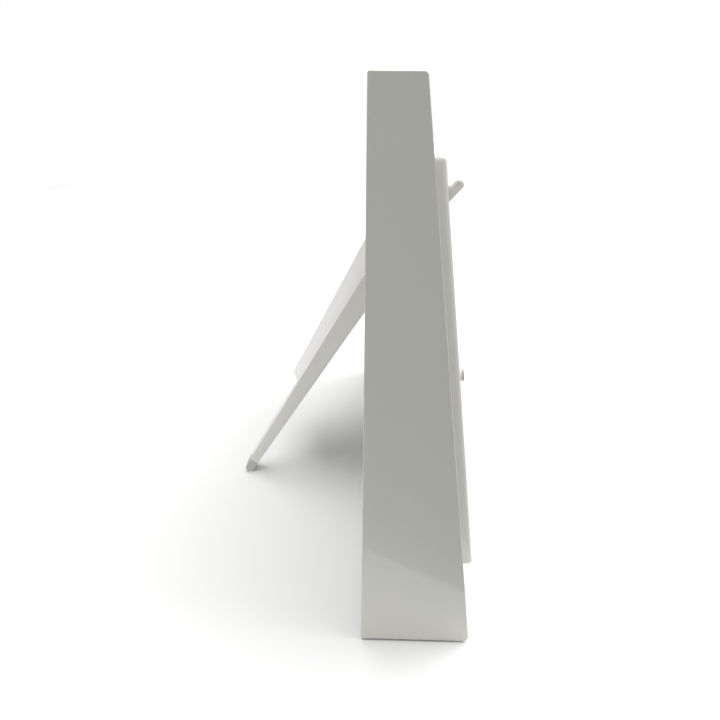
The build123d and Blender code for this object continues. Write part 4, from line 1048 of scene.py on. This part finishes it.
class PHOTOFRAME_OT_strut(bpy.types.Operator):
    """Models the strut and its foot, and paints the hinge"""

    bl_idname = "photo_frame.strut"
    bl_label = "Make the strut"

    def execute(self, context):
        look = context.scene.photo_frame_finish
        detail = context.scene.photo_frame_detail
        grain = grained_moulding("strut_grain", look.strut_colour, 0.40, 2100, 0.012 * MM)
        model_strut(detail, grain)
        model_foot(detail, rubber("foot_rubber", (0.62, 0.62, 0.60)))
        paint_node("hinge_pin", plated_steel("pin_steel", (0.66, 0.66, 0.67), 0.22))
        bracket = pressed_zinc_sheet("bracket_zinc", (0.66, 0.67, 0.68))
        paint_node("hinge_bracket_left", bracket)
        paint_node("hinge_bracket_right", bracket)
        paint_node("friction_washers", milky_nylon("washer_nylon"))
        return {"FINISHED"}


class PHOTOFRAME_OT_electronics(bpy.types.Operator):
    """Paints the boards, sockets, speakers and hangers, and adds the USB contacts"""

    bl_idname = "photo_frame.electronics"
    bl_label = "Finish the electronics"

    def execute(self, context):
        detail = context.scene.photo_frame_detail
        board = solder_mask_board("board_mask")
        paint_node("main_board", board)
        paint_node("io_board", board)
        paint_node("board_chips", chip_epoxy("chip_epoxy"))
        can = plated_steel("can_tinplate", (0.72, 0.72, 0.71), 0.30, (1, 1, 0.05))
        paint_node("shield_can", can)
        socket = black_nylon("socket_nylon")
        paint_node("dc_jack", socket)
        paint_node("ribbon_headers", socket)
        port = plated_steel("port_steel", (0.70, 0.70, 0.70), 0.24, (0.05, 1, 1))
        paint_node("card_slot", port)
        paint_node("usb_port", port)
        model_contacts(detail, gilded_contacts("contact_gold"))
        ribbon = printed_flex("ribbon_jacket", (0.55, 0.56, 0.57), (0.42, 0.43, 0.44), 800, "Z")
        paint_node("io_ribbon", ribbon)
        aerial = printed_flex("antenna_film", (0.05, 0.05, 0.055), (0.62, 0.40, 0.20), 120)
        paint_node("antenna", aerial)
        for side in ("left", "right"):
            low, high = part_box("speaker_" + side)
            centre = (low + high) / 2
            paint_node("speaker_" + side, paper_cone("cone_" + side, centre))
            plate = pressed_zinc_sheet("hanger_zinc_" + side, (0.64, 0.65, 0.66))
            paint_node("hanger_plate_" + side, plate)
        return {"FINISHED"}


class PHOTOFRAME_OT_fasteners(bpy.types.Operator):
    """Models every screw with a domed head and a cross recess"""

    bl_idname = "photo_frame.fasteners"
    bl_label = "Make the fasteners"

    def execute(self, context):
        share = context.scene.photo_frame_detail.recess_share
        plated = plated_steel("screw_nickel", (0.68, 0.67, 0.65), 0.24, (1, 1, 1))
        flush_head = 0.9 * MM
        pan_head = 1.3 * MM
        fit_screws("cover_screws", REARWARD, flush_head, share, plated)
        fit_screws("hinge_screws", REARWARD, pan_head, share, plated)
        fit_screws("board_screws", -REARWARD, pan_head, share, plated)
        fit_screws("chassis_screws", -FACE_OUT, pan_head, share, plated)
        fit_screws("control_screws", FACE_OUT, pan_head, share, plated)
        return {"FINISHED"}


def area_light(name, place, aim, size, watts):
    """A rectangular soft light at place that faces aim."""
    bpy.ops.object.select_all(action="DESELECT")
    bpy.ops.object.light_add(type="AREA", location=place)
    lamp = bpy.context.object
    lamp.name = name
    lamp.data.shape = "RECTANGLE"
    lamp.data.size, lamp.data.size_y = size
    lamp.data.energy = watts
    toward = Vector(aim) - Vector(place)
    lamp.rotation_euler = toward.to_track_quat("-Z", "Y").to_euler()
    return lamp


class PHOTOFRAME_OT_stage(bpy.types.Operator):
    """Lays the table, lights the room and sets up the camera"""

    bl_idname = "photo_frame.stage"
    bl_label = "Set the stage"

    def execute(self, context):
        stage = context.scene.photo_frame_stage
        self.lay_table(stage)
        self.light_room(context, stage)
        self.place_camera(context, stage)
        context.scene.view_settings.view_transform = "Standard"
        return {"FINISHED"}

    def lay_table(self, stage):
        near_edge = CAD_BOX[0][0] - stage.table_gap
        middle = near_edge + stage.table_span / 2
        table = start(
            bpy.ops.mesh.primitive_plane_add,
            "table_top",
            size=stage.table_span,
            location=(middle, 0, 0),
        )
        mesh = table.data
        edit(table, "EDGE")
        pick(
            table,
            lambda edge: all(mesh.vertices[end].co.x < middle for end in edge.vertices),
            "EDGE",
        )
        # The near edge runs a little askew to the frame.
        bpy.ops.transform.rotate(
            value=-stage.table_skew, orient_axis="Z", center_override=(near_edge, 0, 0)
        )
        only(table)
        table.data.materials.append(table_top("table_finish"))

    def light_room(self, context, stage):
        """Dim even light from the room, a white backdrop for the camera, and two soft lights."""
        world = bpy.data.worlds.new("soft_room")
        world.use_nodes = True
        tree = world.node_tree
        even = tree.nodes["Background"]
        even.inputs["Color"].default_value = (0.985, 0.99, 1.0, 1)
        even.inputs["Strength"].default_value = stage.room_light
        backdrop = tree.nodes.new("ShaderNodeBackground")
        backdrop.inputs["Color"].default_value = (1, 1, 1, 1)
        backdrop.inputs["Strength"].default_value = 1.0
        path = tree.nodes.new("ShaderNodeLightPath")
        blend = tree.nodes.new("ShaderNodeMixShader")
        tree.links.new(path.outputs["Is Camera Ray"], blend.inputs[0])
        tree.links.new(even.outputs[0], blend.inputs[1])
        tree.links.new(backdrop.outputs[0], blend.inputs[2])
        tree.links.new(blend.outputs[0], tree.nodes["World Output"].inputs["Surface"])
        context.scene.world = world
        area_light(
            "softbox_top",
            place=(0.30, -0.48, 1.6),
            aim=(0.25, -0.10, 0),
            size=(2.0, 2.6),
            watts=stage.top_light,
        )
        beyond = area_light(
            "softbox_far",
            place=(1.7, -0.62, 0.5),
            aim=(0, -0.1, 0.25),
            size=(1.5, 0.8),
            watts=stage.far_light,
        )
        beyond.visible_camera = False

    def place_camera(self, context, stage):
        """The camera from its place and its yaw, pitch and roll, on a 36 mm sensor."""
        yaw, pitch, roll = stage.camera_yaw, stage.camera_pitch, stage.camera_roll
        ahead = Vector((cos(yaw) * cos(pitch), sin(yaw) * cos(pitch), -sin(pitch)))
        level = Vector((sin(yaw), -cos(yaw), 0))
        upright = level.cross(ahead)
        right = level * cos(roll) + upright * sin(roll)
        up = upright * cos(roll) - level * sin(roll)
        bpy.ops.object.select_all(action="DESELECT")
        bpy.ops.object.camera_add(location=stage.camera_place)
        camera = bpy.context.object
        turn = Matrix((right, up, -ahead)).transposed()
        camera.rotation_euler = turn.to_euler()
        camera.data.lens = stage.camera_lens
        camera.data.sensor_width = 36
        camera.data.clip_start = 0.01
        context.scene.camera = camera


class PHOTOFRAME_PT_panel(bpy.types.Panel):
    """Lists the steps that finish the photo frame"""

    bl_idname = "PHOTOFRAME_PT_panel"
    bl_label = "Photo Frame"
    bl_space_type = "VIEW_3D"
    bl_region_type = "UI"
    bl_category = "Photo Frame"

    def draw(self, context):
        for settings in ("photo_frame_finish", "photo_frame_detail", "photo_frame_stage"):
            group = getattr(context.scene, settings)
            box = self.layout.box()
            for key in group.bl_rna.properties.keys():
                if key not in ("rna_type", "name"):
                    box.prop(group, key)
        for step in STEPS:
            self.layout.operator(step.bl_idname)


STEPS = (
    PHOTOFRAME_OT_casing,
    PHOTOFRAME_OT_display,
    PHOTOFRAME_OT_controls,
    PHOTOFRAME_OT_strut,
    PHOTOFRAME_OT_electronics,
    PHOTOFRAME_OT_fasteners,
    PHOTOFRAME_OT_stage,
)
SETTINGS = {
    "photo_frame_finish": FinishSettings,
    "photo_frame_detail": DetailSettings,
    "photo_frame_stage": StageSettings,
}


def register():
    for name, group in SETTINGS.items():
        bpy.utils.register_class(group)
        setattr(bpy.types.Scene, name, bpy.props.PointerProperty(type=group))
    for step in STEPS:
        bpy.utils.register_class(step)
    bpy.utils.register_class(PHOTOFRAME_PT_panel)


def unregister():
    bpy.utils.unregister_class(PHOTOFRAME_PT_panel)
    for step in reversed(STEPS):
        bpy.utils.unregister_class(step)
    for name, group in reversed(SETTINGS.items()):
        delattr(bpy.types.Scene, name)
        bpy.utils.unregister_class(group)


def main():
    register()
    bpy.ops.photo_frame.casing()
    bpy.ops.photo_frame.display()
    bpy.ops.photo_frame.controls()
    bpy.ops.photo_frame.strut()
    bpy.ops.photo_frame.electronics()
    bpy.ops.photo_frame.fasteners()
    bpy.ops.photo_frame.stage()


if __name__ == "__main__":
    main()
